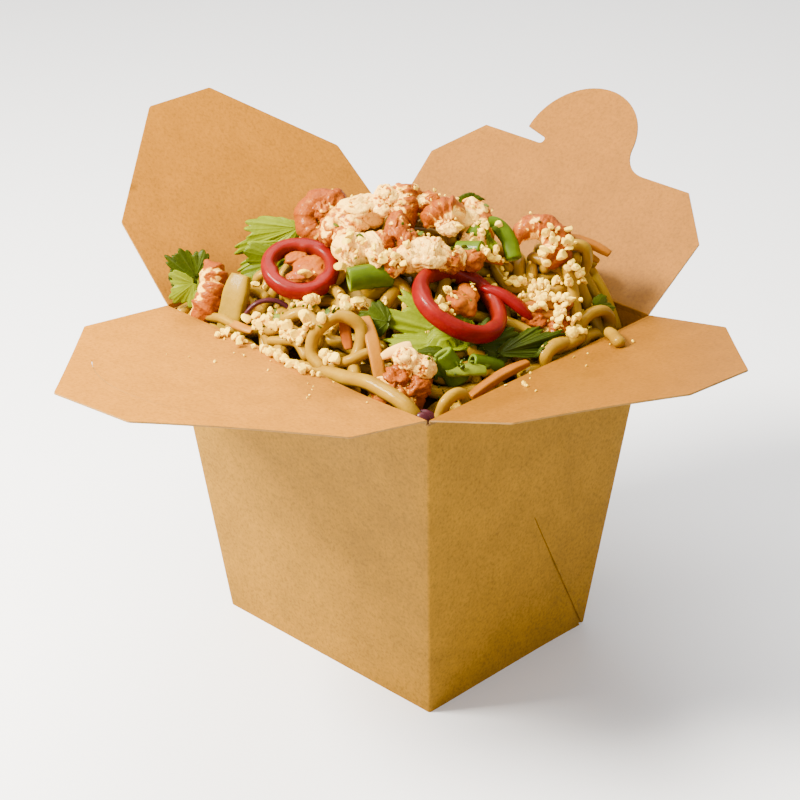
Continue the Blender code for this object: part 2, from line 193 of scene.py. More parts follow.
def evenly(curve, count):
    """The same line with points at equal distances along it."""
    length = np.concatenate([[0.0], np.cumsum(np.linalg.norm(np.diff(curve, axis=0), axis=1))])
    places = np.linspace(0.0, length[-1], count)
    return np.stack([np.interp(places, length, curve[:, k]) for k in range(curve.shape[1])], 1)


def carried_frames(paths, first=None):
    """Tangent, normal and side along each path; the normal is carried without twist."""
    tangent = unit(np.gradient(paths, axis=1))
    start = np.cross(tangent[:, 0], (0.35, 0.2, 0.91)) if first is None else first
    normals = [unit(start - (start * tangent[:, 0]).sum(-1, keepdims=True) * tangent[:, 0])]
    for step in range(1, paths.shape[1]):
        along = tangent[:, step]
        last = normals[-1]
        normals.append(unit(last - (last * along).sum(-1, keepdims=True) * along))
    normal = np.stack(normals, 1)
    return tangent, normal, np.cross(tangent, normal)


def oval(sides, wide=1.0, high=1.0, square=2.0):
    """Radius at each angle of the curve |x/wide|^square + |y/high|^square = 1."""
    angle = 2.0 * math.pi * np.arange(sides) / sides
    return (np.abs(np.cos(angle) / wide) ** square
            + np.abs(np.sin(angle) / high) ** square) ** (-1.0 / square)


CAPS = {"round": ((0.45, 0.88), (0.8, 0.58), (0.95, 0.28)), "flat": ((0.06, 0.94), (0.10, 0.6))}


def swept(paths, radius, cap="round", first=None):
    """Bars along paths.  A ring's point is path + r(angle) (cos normal + sin side).

    radius is per path, point and angle, or less.  The ends are drawn in by the cap's rings:
    each lies a share of the end's radius further out and has a share of its width.
    """
    paths = np.asarray(paths, float)
    paths = paths[None] if paths.ndim == 2 else paths
    tangent, normal, side = carried_frames(paths, first)
    radius = np.asarray(radius, float)
    count, length = paths.shape[:2]
    sides = radius.shape[-1]
    radius = np.broadcast_to(radius, (count, length, sides))
    rings = CAPS[cap]
    spread = radius.mean(-1)
    head = [(0, -out, wide) for out, wide in reversed(rings)]
    tail = [(length - 1, out, wide) for out, wide in rings]
    plan = head + [(i, 0.0, 1.0) for i in range(length)] + tail
    pick = np.array([row[0] for row in plan])
    out = np.array([row[1] for row in plan])
    wide = np.array([row[2] for row in plan])
    angle = 2.0 * math.pi * np.arange(sides) / sides
    centre = paths[:, pick] + tangent[:, pick] * (out[:, None] * spread[:, pick, None])
    reach = radius[:, pick] * wide[:, None]
    ring = (centre[:, :, None]
            + (reach * np.cos(angle))[..., None] * normal[:, pick, None]
            + (reach * np.sin(angle))[..., None] * side[:, pick, None])
    first_pole = centre[:, 0] - tangent[:, 0] * spread[:, :1] * 0.03
    last_pole = centre[:, -1] + tangent[:, -1] * spread[:, -1:] * 0.03
    rows = len(plan)
    points = np.concatenate([ring.reshape(count, rows * sides, 3),
                             first_pole[:, None], last_pole[:, None]], 1)
    quads = grid_faces(rows, sides, wrap_columns=True)
    turn = np.arange(sides)
    after = (turn + 1) % sides
    start = np.stack([after, turn, np.full(sides, rows * sides)], 1)
    base = (rows - 1) * sides
    end = np.stack([base + turn, base + after, np.full(sides, rows * sides + 1)], 1)
    step = rows * sides + 2
    shift = (np.arange(count) * step)[:, None, None]
    faces = (quads[None] + shift).reshape(-1, 4).tolist()
    faces += (start[None] + shift).reshape(-1, 3).tolist()
    faces += (end[None] + shift).reshape(-1, 3).tolist()
    along = np.repeat(pick / (length - 1.0), sides)
    around = np.tile(turn / sides, rows)
    uv = np.stack([np.append(along, (0.0, 1.0)), np.append(around, (0.0, 0.0))], 1)
    return points.reshape(-1, 3), faces, np.tile(uv, (count, 1))


def grid_faces(rows, columns, wrap_rows=False, wrap_columns=False):
    """Quads of a grid of points stored row by row."""
    row = np.arange(rows if wrap_rows else rows - 1)[:, None]
    column = np.arange(columns if wrap_columns else columns - 1)[None]
    below = (row + 1) % rows
    right = (column + 1) % columns
    return np.stack([row * columns + column, row * columns + right,
                     below * columns + right, below * columns + column], -1).reshape(-1, 4)


def joined(parts):
    """Several (points, faces, uv) sets as one."""
    points, faces, uvs, offset = [], [], [], 0
    for part in parts:
        points.append(part[0])
        uvs.append(part[2])
        faces += [[index + offset for index in face] for face in part[1]]
        offset += len(part[0])
    return np.concatenate(points), faces, np.concatenate(uvs)


def add_piece(name, shape, materials, shade=None, slots=None, smooth=True):
    """A mesh object at the origin from points in millimetres, faces and a map."""
    points, faces, uv = shape
    mesh = bpy.data.meshes.new(name)
    mesh.from_pydata((points * MM).tolist(), [], faces)
    for material in materials:
        mesh.materials.append(material)
    if slots is not None:
        mesh.polygons.foreach_set("material_index", np.asarray(slots, np.int32))
    corners = np.empty(len(mesh.loops), np.int32)
    mesh.loops.foreach_get("vertex_index", corners)
    mesh.uv_layers.new(name="UVMap").data.foreach_set("uv", uv[corners].astype(np.float32).ravel())
    if shade is not None:
        layer = mesh.attributes.new("shade", "FLOAT", "POINT")
        layer.data.foreach_set("value", np.asarray(shade, np.float32))
    mesh.polygons.foreach_set("use_smooth", np.full(len(mesh.polygons), smooth))
    mesh.validate()
    mesh.update()
    piece = bpy.data.objects.new(name, mesh)
    bpy.context.scene.collection.objects.link(piece)
    return piece


def settle(piece, body, slot, *nodes):
    """Make a finished piece ride on its body and stand for its nodes, which it hides; its slot is not used."""
    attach(piece, body)
    if nodes:
        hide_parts(*nodes)
    return piece


# Shader building --------------------------------------------------------------------
FINISHES = {}                       # this file's own materials, by what they were asked to be


def new_material(name, roughness=0.5, **sockets):
    """A material, its nodes and its Principled shader; constants go on the shader's sockets."""
    material = FINISHES[name] = bpy.data.materials.new(name)
    material.use_nodes = True
    tree = material.node_tree
    shader = tree.nodes["Principled BSDF"]
    shader.inputs["Roughness"].default_value = roughness
    for label, value in sockets.items():
        shader.inputs[label.replace("_", " ")].default_value = value
    return material, tree, shader


def node(tree, kind, **settings):
    """A node with its settings; those named in_0, in_1 and so on fill its input sockets."""
    made = tree.nodes.new(kind)
    for label, value in settings.items():
        if not label.startswith("in_"):
            setattr(made, label, value)
    for label, value in settings.items():
        if label.startswith("in_"):
            key = label[3:]
            socket = made.inputs[int(key)] if key.isdigit() else made.inputs[key]
            if isinstance(value, bpy.types.NodeSocket):
                tree.links.new(value, socket)
            else:
                socket.default_value = value
    return made


def blend_colours(tree, factor, first, second, mode="MIX"):
    """The two colours mixed by the factor; each may be a socket or a value."""
    mix = node(tree, "ShaderNodeMix", data_type="RGBA", blend_type=mode)
    for index, value in ((0, factor), (6, first), (7, second)):
        if isinstance(value, bpy.types.NodeSocket):
            tree.links.new(value, mix.inputs[index])
        else:
            mix.inputs[index].default_value = value if index == 0 else (*value[:3], 1.0)
    return mix.outputs[2]


def ramp(tree, factor, *stops):
    """A colour ramp; each stop is a position and a colour."""
    made = node(tree, "ShaderNodeValToRGB")
    elements = made.color_ramp.elements
    while len(elements) < len(stops):
        elements.new(0.5)
    for element, (place, colour) in zip(elements, stops):
        element.position = place
        element.color = (*colour, 1.0) if len(colour) == 3 else colour
    tree.links.new(factor, made.inputs[0])
    return made.outputs[0]


def group_socket(tree, name, kind, way, value=None):
    """A socket on a node group's outside."""
    socket = tree.interface.new_socket(name=name, in_out=way, socket_type=kind)
    if value is not None:
        socket.default_value = value
    return socket


def speckle_group():
    """Group: a mask of soft blotches and a mask of fine specks, on a given vector."""
    if "speckle" in bpy.data.node_groups:
        return bpy.data.node_groups["speckle"]
    tree = bpy.data.node_groups.new("speckle", "ShaderNodeTree")
    group_socket(tree, "Vector", "NodeSocketVector", "INPUT")
    group_socket(tree, "Blotch size", "NodeSocketFloat", "INPUT", 200.0)
    group_socket(tree, "Speck size", "NodeSocketFloat", "INPUT", 1500.0)
    group_socket(tree, "Blotches", "NodeSocketFloat", "OUTPUT")
    group_socket(tree, "Specks", "NodeSocketFloat", "OUTPUT")
    source = node(tree, "NodeGroupInput")
    sink = node(tree, "NodeGroupOutput")
    broad = node(tree, "ShaderNodeTexNoise", in_Vector=source.outputs[0],
                 in_Scale=source.outputs[1], in_Detail=4.0, in_Roughness=0.6)
    fine = node(tree, "ShaderNodeTexNoise", in_Vector=source.outputs[0],
                in_Scale=source.outputs[2], in_Detail=2.0, in_Roughness=0.7)
    tree.links.new(broad.outputs[0], sink.inputs[0])
    tree.links.new(fine.outputs[0], sink.inputs[1])
    return tree


def speckles(tree, blotch, speck, vector=None):
    """The speckle group placed in a material: its blotch and speck outputs."""
    made = node(tree, "ShaderNodeGroup", node_tree=speckle_group())
    if vector is None:
        vector = node(tree, "ShaderNodeTexCoord").outputs["Object"]
    tree.links.new(vector, made.inputs[0])
    made.inputs[1].default_value = blotch
    made.inputs[2].default_value = speck
    return made.outputs[0], made.outputs[1]


def relief_normal(tree, shader, height, distance, strength=1.0):
    """Feed a height through a Bump node into the shader's normal."""
    bump = node(tree, "ShaderNodeBump", in_Strength=strength, in_Distance=distance, in_Height=height)
    tree.links.new(bump.outputs[0], shader.inputs["Normal"])


# Board ------------------------------------------------------------------------------
HINGE = 1.2                         # length of the bent strip on each side of a crease
ROOT_INSET = 0.8                    # a flap is this much shorter than its wall, each end
FLAP_CORNER = 1.6
CORNER_ROUND = 0.7                  # outside radius of the box's upright folds
SLIT_TOP = (3.5, 50.0)              # upper end of the gap in a side wall's outer layer
SLIT_FOOT = 31.6
SLIT_WIDTHS = (0.25, 1.5)           # at its top and foot
BULGE_AT = (27.0, 15.0)             # middle and half length of the front wall's bulge
TAB_CENTRE = (5.5, 44.0)
TAB_RADIUS = 19.0
TAB_NECK_ROUND = 9.0
HOOK_DEPTH = 6.8
HOOK_GAP = 2.4
HOOK_THICK = 1.6
SLOT_RADIUS = 42.0
SLOT_MIDDLE = (-2.0, 54.5)
SLOT_SPAN = 80.0
SLOT_GAP = 0.15

# Each flap: body, outward direction, half width of its wall, angle from upright, height up
# to its shoulders, flare there, full height, half width at the tip, twist per square
# millimetre, and darkened spots (along, over, radius, strength): grease spots, and on three
# flaps a spot of radius 400 that darkens the whole flap, which is painted shade.
FLAPS = {
    "flap_slot": ("slot_flap", (0, -1), TOP_X, 81.0, 29.0, 0.9, 68.8, 14.5, 0.00113,
                  ((20, 8, 16, 0.25), (-8, 5, 10, 0.2), (36, 16, 7, 0.15), (-38, 3, 7, 0.25))),
    # The spots of radius 400 on this flap and the two dust flaps are painted shade over the whole flap.
    "flap_tab": ("tab_flap", (0, 1), TOP_X, 50.7, 25.3, 1.2, 39.4, 39.0, 0.00044,
                 ((0, 20, 400, 0.85), (-8, 6, 12, 0.3), (3, 17, 5, 0.3), (-3, 11, 4, 0.3), (-30, 8, 9, 0.2))),
    "flap_dust_right": ("dust_flap_right", (1, 0), TOP_Y, 75.3, 27.9, -1.5, 59.2, 11.8, -0.00111,
                        ((0, 20, 400, 0.85), (10, 5, 11, 0.2), (-24, 6, 9, 0.2), (-4, 20, 5, 0.1))),
    "flap_dust_left": ("dust_flap_left", (-1, 0), TOP_Y, 47.7, 27.9, -1.5, 59.2, 11.8, 0.0,
                       ((0, 20, 400, 0.12), (0, 6, 14, 0.3), (22, 7, 8, 0.3))),
}


def arc(centre, radius, start, end, steps):
    """Points on a circle from one angle to another, in degrees."""
    angle = np.radians(np.linspace(start, end, steps + 1))
    return np.stack([centre[0] + radius * np.cos(angle), centre[1] + radius * np.sin(angle)], 1)


def rounded(points, radius, steps=4):
    """The closed outline through the points with each corner turned into an arc."""
    points = np.asarray(points, float)
    before = unit(np.roll(points, 1, 0) - points)
    after = unit(np.roll(points, -1, 0) - points)
    half = np.arccos(np.clip((before * after).sum(1), -1.0, 1.0)) / 2.0
    bisector = unit(before + after)
    share = np.linspace(0.0, 1.0, steps + 1)[None, :, None]
    reach = (radius / np.tan(half))[:, None, None]
    centre = (points + bisector * (radius / np.sin(half))[:, None])[:, None]
    line = (points[:, None] + before[:, None] * reach * (1.0 - share)
            + after[:, None] * reach * share)
    return (centre + unit(line - centre) * radius).reshape(-1, 2)


def tab_outline(corners):
    """The six corners with the round tab on their far edge.

    The tab is one circle.  On one side it ends in a hook over a narrow undercut, on the
    other it runs into the edge through a hollow round.
    """
    edge = corners[2][1]
    cx, cy = TAB_CENTRE
    hook_angle = math.degrees(math.asin((edge + HOOK_GAP + HOOK_THICK - cy) / TAB_RADIUS))
    hook_x = cx + TAB_RADIUS * math.cos(math.radians(hook_angle))
    undercut = (hook_x - HOOK_DEPTH, edge + HOOK_GAP / 2.0)
    neck_y = edge + TAB_NECK_ROUND
    neck_x = cx - math.sqrt((TAB_RADIUS + TAB_NECK_ROUND) ** 2 - (neck_y - cy) ** 2)
    meet = math.degrees(math.atan2(neck_y - cy, neck_x - cx)) % 360.0
    return np.concatenate([
        corners[:3], arc(undercut, HOOK_GAP / 2.0, 270.0, 90.0, 6),
        arc((cx, cy), TAB_RADIUS, hook_angle, meet, 40),
        arc((neck_x, neck_y), TAB_NECK_ROUND, meet - 180.0, -90.0, 10)[1:], corners[3:]])


def dense_outline(outline, spacing):
    """A closed outline with points added along its long edges."""
    after = np.roll(outline, -1, 0)
    parts = []
    for start, end in zip(outline, after):
        count = max(1, int(np.ceil(np.linalg.norm(end - start) / spacing)))
        share = np.arange(count)[:, None] / count
        parts.append(start + (end - start) * share)
    return np.concatenate(parts)


def inside(points, outline):
    """Which points lie inside a closed outline: an odd number of its edges lies to their right."""
    x, y = points[:, :1], points[:, 1:]
    x1, y1 = outline.T
    x2, y2 = np.roll(outline, -1, 0).T
    crosses = (y1 > y) != (y2 > y)
    where = x1 + (y - y1) * (x2 - x1) / np.where(y2 == y1, 1e-9, y2 - y1)
    return (crosses & (x < where)).sum(1) % 2 == 1


def cut_sheet(outline, holes=(), spacing=2.6):
    """A flat sheet: triangles over a staggered grid of points inside an outline."""
    rings = [dense_outline(np.asarray(ring, float), spacing) for ring in (outline, *holes)]
    low, high = rings[0].min(0), rings[0].max(0)
    xs, ys = np.meshgrid(np.arange(low[0], high[0], spacing),
                         np.arange(low[1], high[1], spacing * 0.87))
    xs = xs + (np.arange(len(xs)) % 2)[:, None] * spacing / 2.0
    grid = np.stack([xs.ravel(), ys.ravel()], 1)
    rim = np.concatenate(rings)
    away = np.linalg.norm(grid[:, None] - rim[None], axis=2).min(1)
    keep = inside(grid, rings[0]) & (away > spacing * 0.55)
    flat = np.concatenate([rim, grid[keep]])
    edges, start = [], 0
    for ring in rings:
        edges += [(start + i, start + (i + 1) % len(ring)) for i in range(len(ring))]
        start += len(ring)
    made = geometry.delaunay_2d_cdt([Vector(p) for p in flat], edges, [], 0, 1e-4)
    flat = np.array([tuple(p) for p in made[0]])
    faces = np.array(made[2])
    middle = flat[faces].mean(1)
    wanted = inside(middle, rings[0])
    for ring in rings[1:]:
        wanted &= ~inside(middle, ring)
    return flat, faces[wanted]


def board_shell(flat, faces, place):
    """A sheet of board: place(flat, depth) gives a point at a depth from the outer face.

    Faces 0 are the inner side, 1 the outer side and 2 the cut edges.
    """
    count = len(flat)
    inner, outer = place(flat, BOARD), place(flat, 0.0)
    first = faces[0]
    facing = np.cross(inner[first[1]] - inner[first[0]], inner[first[2]] - inner[first[0]])
    if facing @ (inner[first[0]] - outer[first[0]]) < 0.0:
        faces = faces[:, ::-1]
    edges = np.concatenate([faces[:, [0, 1]], faces[:, [1, 2]], faces[:, [2, 0]]])
    rim = edges[~np.isin(edges[:, 0] * count + edges[:, 1], edges[:, 1] * count + edges[:, 0])]
    sides = np.stack([rim[:, 1], rim[:, 0], rim[:, 0] + count, rim[:, 1] + count], 1)
    slots = [0] * len(faces) + [1] * len(faces) + [2] * len(sides)
    everything = faces.tolist() + (faces[:, ::-1] + count).tolist() + sides.tolist()
    return (np.concatenate([inner, outer]), everything, np.tile(flat, (2, 1)) / 100.0), slots


def bulge(x, z):
    """How far the front wall is pushed out: a smooth swell that fades 35 mm below the rim."""
    amount = bpy.context.scene.noodle_box.bulge
    swell = np.clip(1.0 - ((x - BULGE_AT[0]) / (BULGE_AT[1] * 1.6)) ** 2, 0.0, 1.0) ** 2
    return amount * swell * smooth_step(RIM - 38.0, RIM, z)


def flap_frame(name):
    """Hinge point and the directions along the crease, over the flap and to the food."""
    _, out, _, angle = FLAPS[name][:4]
    out = np.array([*out, 0.0], float)
    along = np.array([-out[1], out[0], 0.0])
    lean = math.radians(angle)
    over = out * math.sin(lean) + np.array([0.0, 0.0, math.cos(lean)])
    hinge = np.array([out[0] * TOP_X, out[1] * TOP_Y, RIM])
    return hinge, along, over, -np.cross(along, over)


def on_flap(name, a, b, lift=0.0):
    """Points on a flap's food side: a along the crease, b over it, and the lift above it."""
    hinge, along, over, food = flap_frame(name)
    a, b, lift = np.broadcast_arrays(np.asarray(a, float), np.asarray(b, float), lift)
    offset = BOARD + lift + FLAPS[name][8] * a * b
    if name == "flap_slot":
        b = b + bulge(a, RIM) * np.clip(1.0 - b / 30.0, 0.0, 1.0)
    return hinge + a[..., None] * along + b[..., None] * over + offset[..., None] * food


def add_flap(name, materials):
    """One flap: its flat blank with a slight twist, cut edges, grease spots near the food and, on three flaps,
    painted shade over the whole flap.
    """
    body, _, wall, _, side, flare, height, tip = FLAPS[name][:8]
    half = wall - ROOT_INSET
    wide = half + flare
    corners = np.array([(half, HINGE), (wide, side), (tip, height),
                        (-tip, height), (-wide, side), (-half, HINGE)])
    holes = []
    if name == "flap_tab":
        outline = tab_outline(corners)
    else:
        outline = rounded(corners, FLAP_CORNER)
        root = np.abs(outline[:, 1] - HINGE) < FLAP_CORNER
        outline[root, 1] = HINGE
        outline[root, 0] = np.sign(outline[root, 0]) * half
        outline = outline[np.append(True, np.linalg.norm(np.diff(outline, axis=0), axis=1) > 1e-6)]
    if name == "flap_slot":
        centre = (SLOT_MIDDLE[0], SLOT_MIDDLE[1] - SLOT_RADIUS)
        ends = (90.0 + SLOT_SPAN / 2.0, 90.0 - SLOT_SPAN / 2.0)
        holes.append(np.concatenate([arc(centre, SLOT_RADIUS + SLOT_GAP / 2.0, *ends, 24),
                                     arc(centre, SLOT_RADIUS - SLOT_GAP / 2.0, *ends[::-1], 24)]))
    flat, faces = cut_sheet(outline, holes)
    shape, slots = board_shell(flat, faces, lambda p, depth: on_flap(name, p[:, 0], p[:, 1],
                                                                   depth - BOARD))
    stain_and_shade = stains_and_shade(flat, FLAPS[name][9])
    piece = add_piece(name + "_board", shape, materials, np.tile(stain_and_shade, 2), slots)
    piece.data.set_sharp_from_angle(angle=math.radians(40.0))
    settle(piece, body, "board_inside", name)


def stains_and_shade(flat, spots):
    """How dark and glossy each point is: grease spots as soft discs with ragged rims, painted shade as discs wide
    enough to cover whole flaps, and a band along the crease.
    """
    total = 0.5 * np.exp(-np.clip(flat[:, 1], 0.0, None) / 9.0) * (1.0 + waves(flat, 14.0, 3))
    for x, y, radius, strength in spots:
        away = np.linalg.norm(flat - (x, y), axis=1) * (1.0 + 0.35 * waves(flat, 9.0, int(x + 60)))
        total = total + strength * (1.0 - smooth_step(radius * 0.35, radius, away))
    return np.clip(total, 0.0, 1.0)


def add_crease(name, materials):
    """The bent strip between a wall and its flap.

    Its outer faces meet on the crease axis, and its inner face goes round that axis on an
    arc of one board's thickness.  It is not attached to either body.
    """
    body, _, wall, _ = FLAPS[name][:4]
    hinge, along, over, food = flap_frame(name)
    out = np.array([*FLAPS[name][1], 0.0], float)
    slope = ((TOP_Y - BASE_Y) if out[1] else (TOP_X - BASE_X)) / RIM
    down = unit(-out * slope - np.array([0.0, 0.0, 1.0]))
    inward = unit(-out + np.array([0.0, 0.0, slope]))
    share = np.linspace(0.0, 1.0, 9)[:, None]
    turn = math.acos(float(np.clip(inward @ food, -1.0, 1.0)))
    bend = (np.sin((1.0 - share) * turn) * inward + np.sin(share * turn) * food) / math.sin(turn)
    outer = [down * HINGE, down * HINGE / 2.0, over * 0.0, over * HINGE / 2.0, over * HINGE]
    inner = [over * HINGE + food * BOARD, *(bend[::-1] * BOARD), down * HINGE + inward * BOARD]
    profile = np.array(outer + inner)
    half = wall - ROOT_INSET
    places = np.linspace(-half, half, 60)
    points = hinge + places[:, None, None] * along + profile[None]
    if name == "flap_slot":
        points = points - np.array([0.0, 1.0, 0.0]) * bulge(places, RIM)[:, None, None]
    rows, columns = len(places), len(profile)
    faces = grid_faces(rows, columns, wrap_columns=True)
    kinds = np.ones(columns, int)
    kinds[len(outer) - 1] = 2
    kinds[len(outer):] = 0
    kinds[-1] = 2
    slots = np.tile(kinds, rows - 1)
    ends = [list(range(columns)), [(rows - 1) * columns + i for i in range(columns)][::-1]]
    flat = np.stack([np.repeat(places, columns), np.tile(np.zeros(columns), rows)], 1)
    facing = np.cross(points[0, 1] - points[0, 0], points[1, 0] - points[0, 0])
    if facing @ (points[0, 0] - points[0, -1]) < 0.0:
        faces = faces[:, ::-1]
        ends = [end[::-1] for end in ends]
    shape = (points.reshape(-1, 3), faces.tolist() + ends, flat / 100.0)
    # Darkened like its flap: grease spots and the flap's painted shade.
    shade = stains_and_shade(flat, FLAPS[name][9])
    piece = add_piece(name + "_crease", shape, materials, shade, [*slots, 2, 2])
    piece.data.set_sharp_from_angle(angle=math.radians(50.0))
    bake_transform(piece)


def side_stations(z, edge):
    """Places across a side wall at each height, and how deep the slit is there.

    Four of the columns follow the slit: down to its top they run together, and below it
    they part into a groove one board deep.
    """
    share = np.clip((SLIT_TOP[1] - z) / SLIT_TOP[1], 0.0, 1.0)
    middle = SLIT_TOP[0] + (SLIT_FOOT - SLIT_TOP[0]) * share
    width = SLIT_WIDTHS[0] + (SLIT_WIDTHS[1] - SLIT_WIDTHS[0]) * share
    left, right = middle - width / 2.0, middle + width / 2.0
    near = -edge[:, None] + (left + edge)[:, None] * np.linspace(0.0, 1.0, 15)[None]
    groove = np.stack([left + 0.05, right - 0.05], 1)
    far = right[:, None] + (edge - right)[:, None] * np.linspace(0.0, 1.0, 9)[None]
    depth = np.zeros((len(z), 26))
    depth[:, 15:17] = np.where(z <= SLIT_TOP[1], BOARD * 0.9, 0.0)[:, None]
    proud = -0.5 * share ** 2
    depth[:, 9:15] += proud[:, None] * np.linspace(0.0, 1.0, 6) ** 2
    return np.concatenate([near, groove, far], 1), depth


def wall_ring(z, inset_x, inset_y, radius, slit):
    """Points round the box at each height: four sides and four round corners."""
    half_x = BASE_X + (TOP_X - BASE_X) * z / RIM - inset_x
    half_y = BASE_Y + (TOP_Y - BASE_Y) * z / RIM - inset_y
    edge_x, edge_y = half_x - radius, half_y - radius
    across, depth = side_stations(z, edge_y)
    if not slit:
        depth = depth * 0.0
    span = np.linspace(-1.0, 1.0, 31)
    turn = np.radians(np.linspace(0.0, 90.0, 5))[1:-1]
    x = edge_x[:, None] * span[None]
    front = bulge(x, z[:, None])
    sides = []
    right = np.stack([half_x[:, None] - depth, across], -1)
    back = np.stack([x[:, ::-1], np.broadcast_to(half_y[:, None], x.shape)], -1)
    left = np.stack([-(half_x[:, None] - depth), across], -1)[:, ::-1]
    fore = np.stack([x, -half_y[:, None] - front], -1)
    for side, sx, sy, start in ((right, 1, 1, 0), (back, -1, 1, 90), (left, -1, -1, 180),
                                (fore, 1, -1, 270)):
        centre = np.stack([sx * edge_x, sy * edge_y], 1)[:, None]
        angle = turn + math.radians(start)
        round_off = centre + radius * np.stack([np.cos(angle), np.sin(angle)], 1)[None]
        sides += [side, round_off]
    ring = np.concatenate(sides, 1)
    return np.concatenate([ring, np.broadcast_to(z[:, None, None], ring.shape[:2] + (1,))], 2)


def add_walls(materials):
    """The walls and base: an outer skin with the slits, an inner skin, the rim and two floors."""
    low = np.concatenate([np.linspace(0.0, SLIT_TOP[1], 21), np.linspace(50.2, RIM - HINGE, 22)])
    outer = wall_ring(low, 0.0, 0.0, CORNER_ROUND, True)
    high = np.linspace(RIM - HINGE, BOARD, 30)
    inner = wall_ring(high, SIDE_LAYERS * BOARD, BOARD, 0.3, False)
    rings = np.concatenate([outer, inner])
    rows, columns = rings.shape[:2]
    faces = grid_faces(rows, columns, wrap_columns=True)
    kinds = np.zeros((rows - 1, columns), int)
    kinds[:len(low) - 1] = 1
    kinds[len(low) - 1] = 2
    ends = [list(range(columns))[::-1], [(rows - 1) * columns + i for i in range(columns)]]
    points = rings.reshape(-1, 3)
    # Darker and glossier towards the rim on the inner face.
    rim_band = 0.7 * smooth_step(RIM - 14.0, RIM, points[:, 2]) * (np.arange(len(points)) >= len(low) * columns)
    uv = points[:, [0, 2]] / 100.0
    piece = add_piece("box_walls", (points, faces.tolist() + ends, uv), materials, rim_band,
                      [*kinds.ravel(), 1, 0])
    piece.data.set_sharp_from_angle(angle=math.radians(50.0))
    settle(piece, "box", "board_outside", "pail")


def board_material(name, colour, dark, speck):
    """Kraft board: fibre mottle in two sizes, dark and pale specks, and darker, glossier patches where the shade
    attribute says, from grease spots and painted shade.
    """
    material, tree, shader = new_material(name, 0.7)
    shader.inputs["Specular IOR Level"].default_value = 0.15
    blotches, specks = speckles(tree, 90.0, 1100.0)
    base = ramp(tree, blotches, (0.32, tuple(c * dark for c in colour)), (0.68, colour))
    fibre = ramp(tree, specks, (0.34, (1.0 - speck * 2.2,) * 3), (0.47, (1.0 - speck * 0.4,) * 3),
                 (0.55, (1.0,) * 3), (0.68, (1.0 + speck,) * 3))
    base = blend_colours(tree, 1.0, base, fibre, "MULTIPLY")
    oil_and_shade = node(tree, "ShaderNodeAttribute", attribute_name="shade").outputs["Fac"]
    # Grease spots and painted shade both darken the board by this factor.
    soaked_and_shaded = blend_colours(tree, 1.0, base, (0.52, 0.50, 0.38), "MULTIPLY")
    mixed = blend_colours(tree, oil_and_shade, base, soaked_and_shaded)
    tree.links.new(mixed, shader.inputs["Base Color"])
    rough = node(tree, "ShaderNodeMapRange", in_0=oil_and_shade, in_3=0.72, in_4=0.42)
    tree.links.new(rough.outputs[0], shader.inputs["Roughness"])
    relief_normal(tree, shader, specks, 0.00012, 0.35)
    return material


class NOODLEBOX_OT_board(Operator):
    """Make the box's walls, creases and flaps of folded kraft board"""
    bl_idname = "noodlebox.board"
    bl_label = "Board"

    def execute(self, context):
        settings = context.scene.noodle_box
        materials = [board_material("board_inside", tuple(settings.inside), 0.86, 0.10),
                     board_material("board_outside", tuple(settings.outside), 0.82, 0.14),
                     board_material("board_edge", tuple(settings.edge), 0.80, 0.05)]
        add_walls(materials)
        for name in FLAPS:
            add_flap(name, materials)
            add_crease(name, materials)
        return {"FINISHED"}


# Noodles ----------------------------------------------------------------------------
CELL = 0.6                          # spacing of the relief's grid
REACH = (54.0, 48.0)                # half size of the relief's grid
WALL_X = TOP_X - SIDE_LAYERS * BOARD
WALL_Y = TOP_Y - BOARD
DEPTH = 6.5                         # the noodles lie this deep over the core
CEILING = -0.4                      # and their middles reach this far over the heap
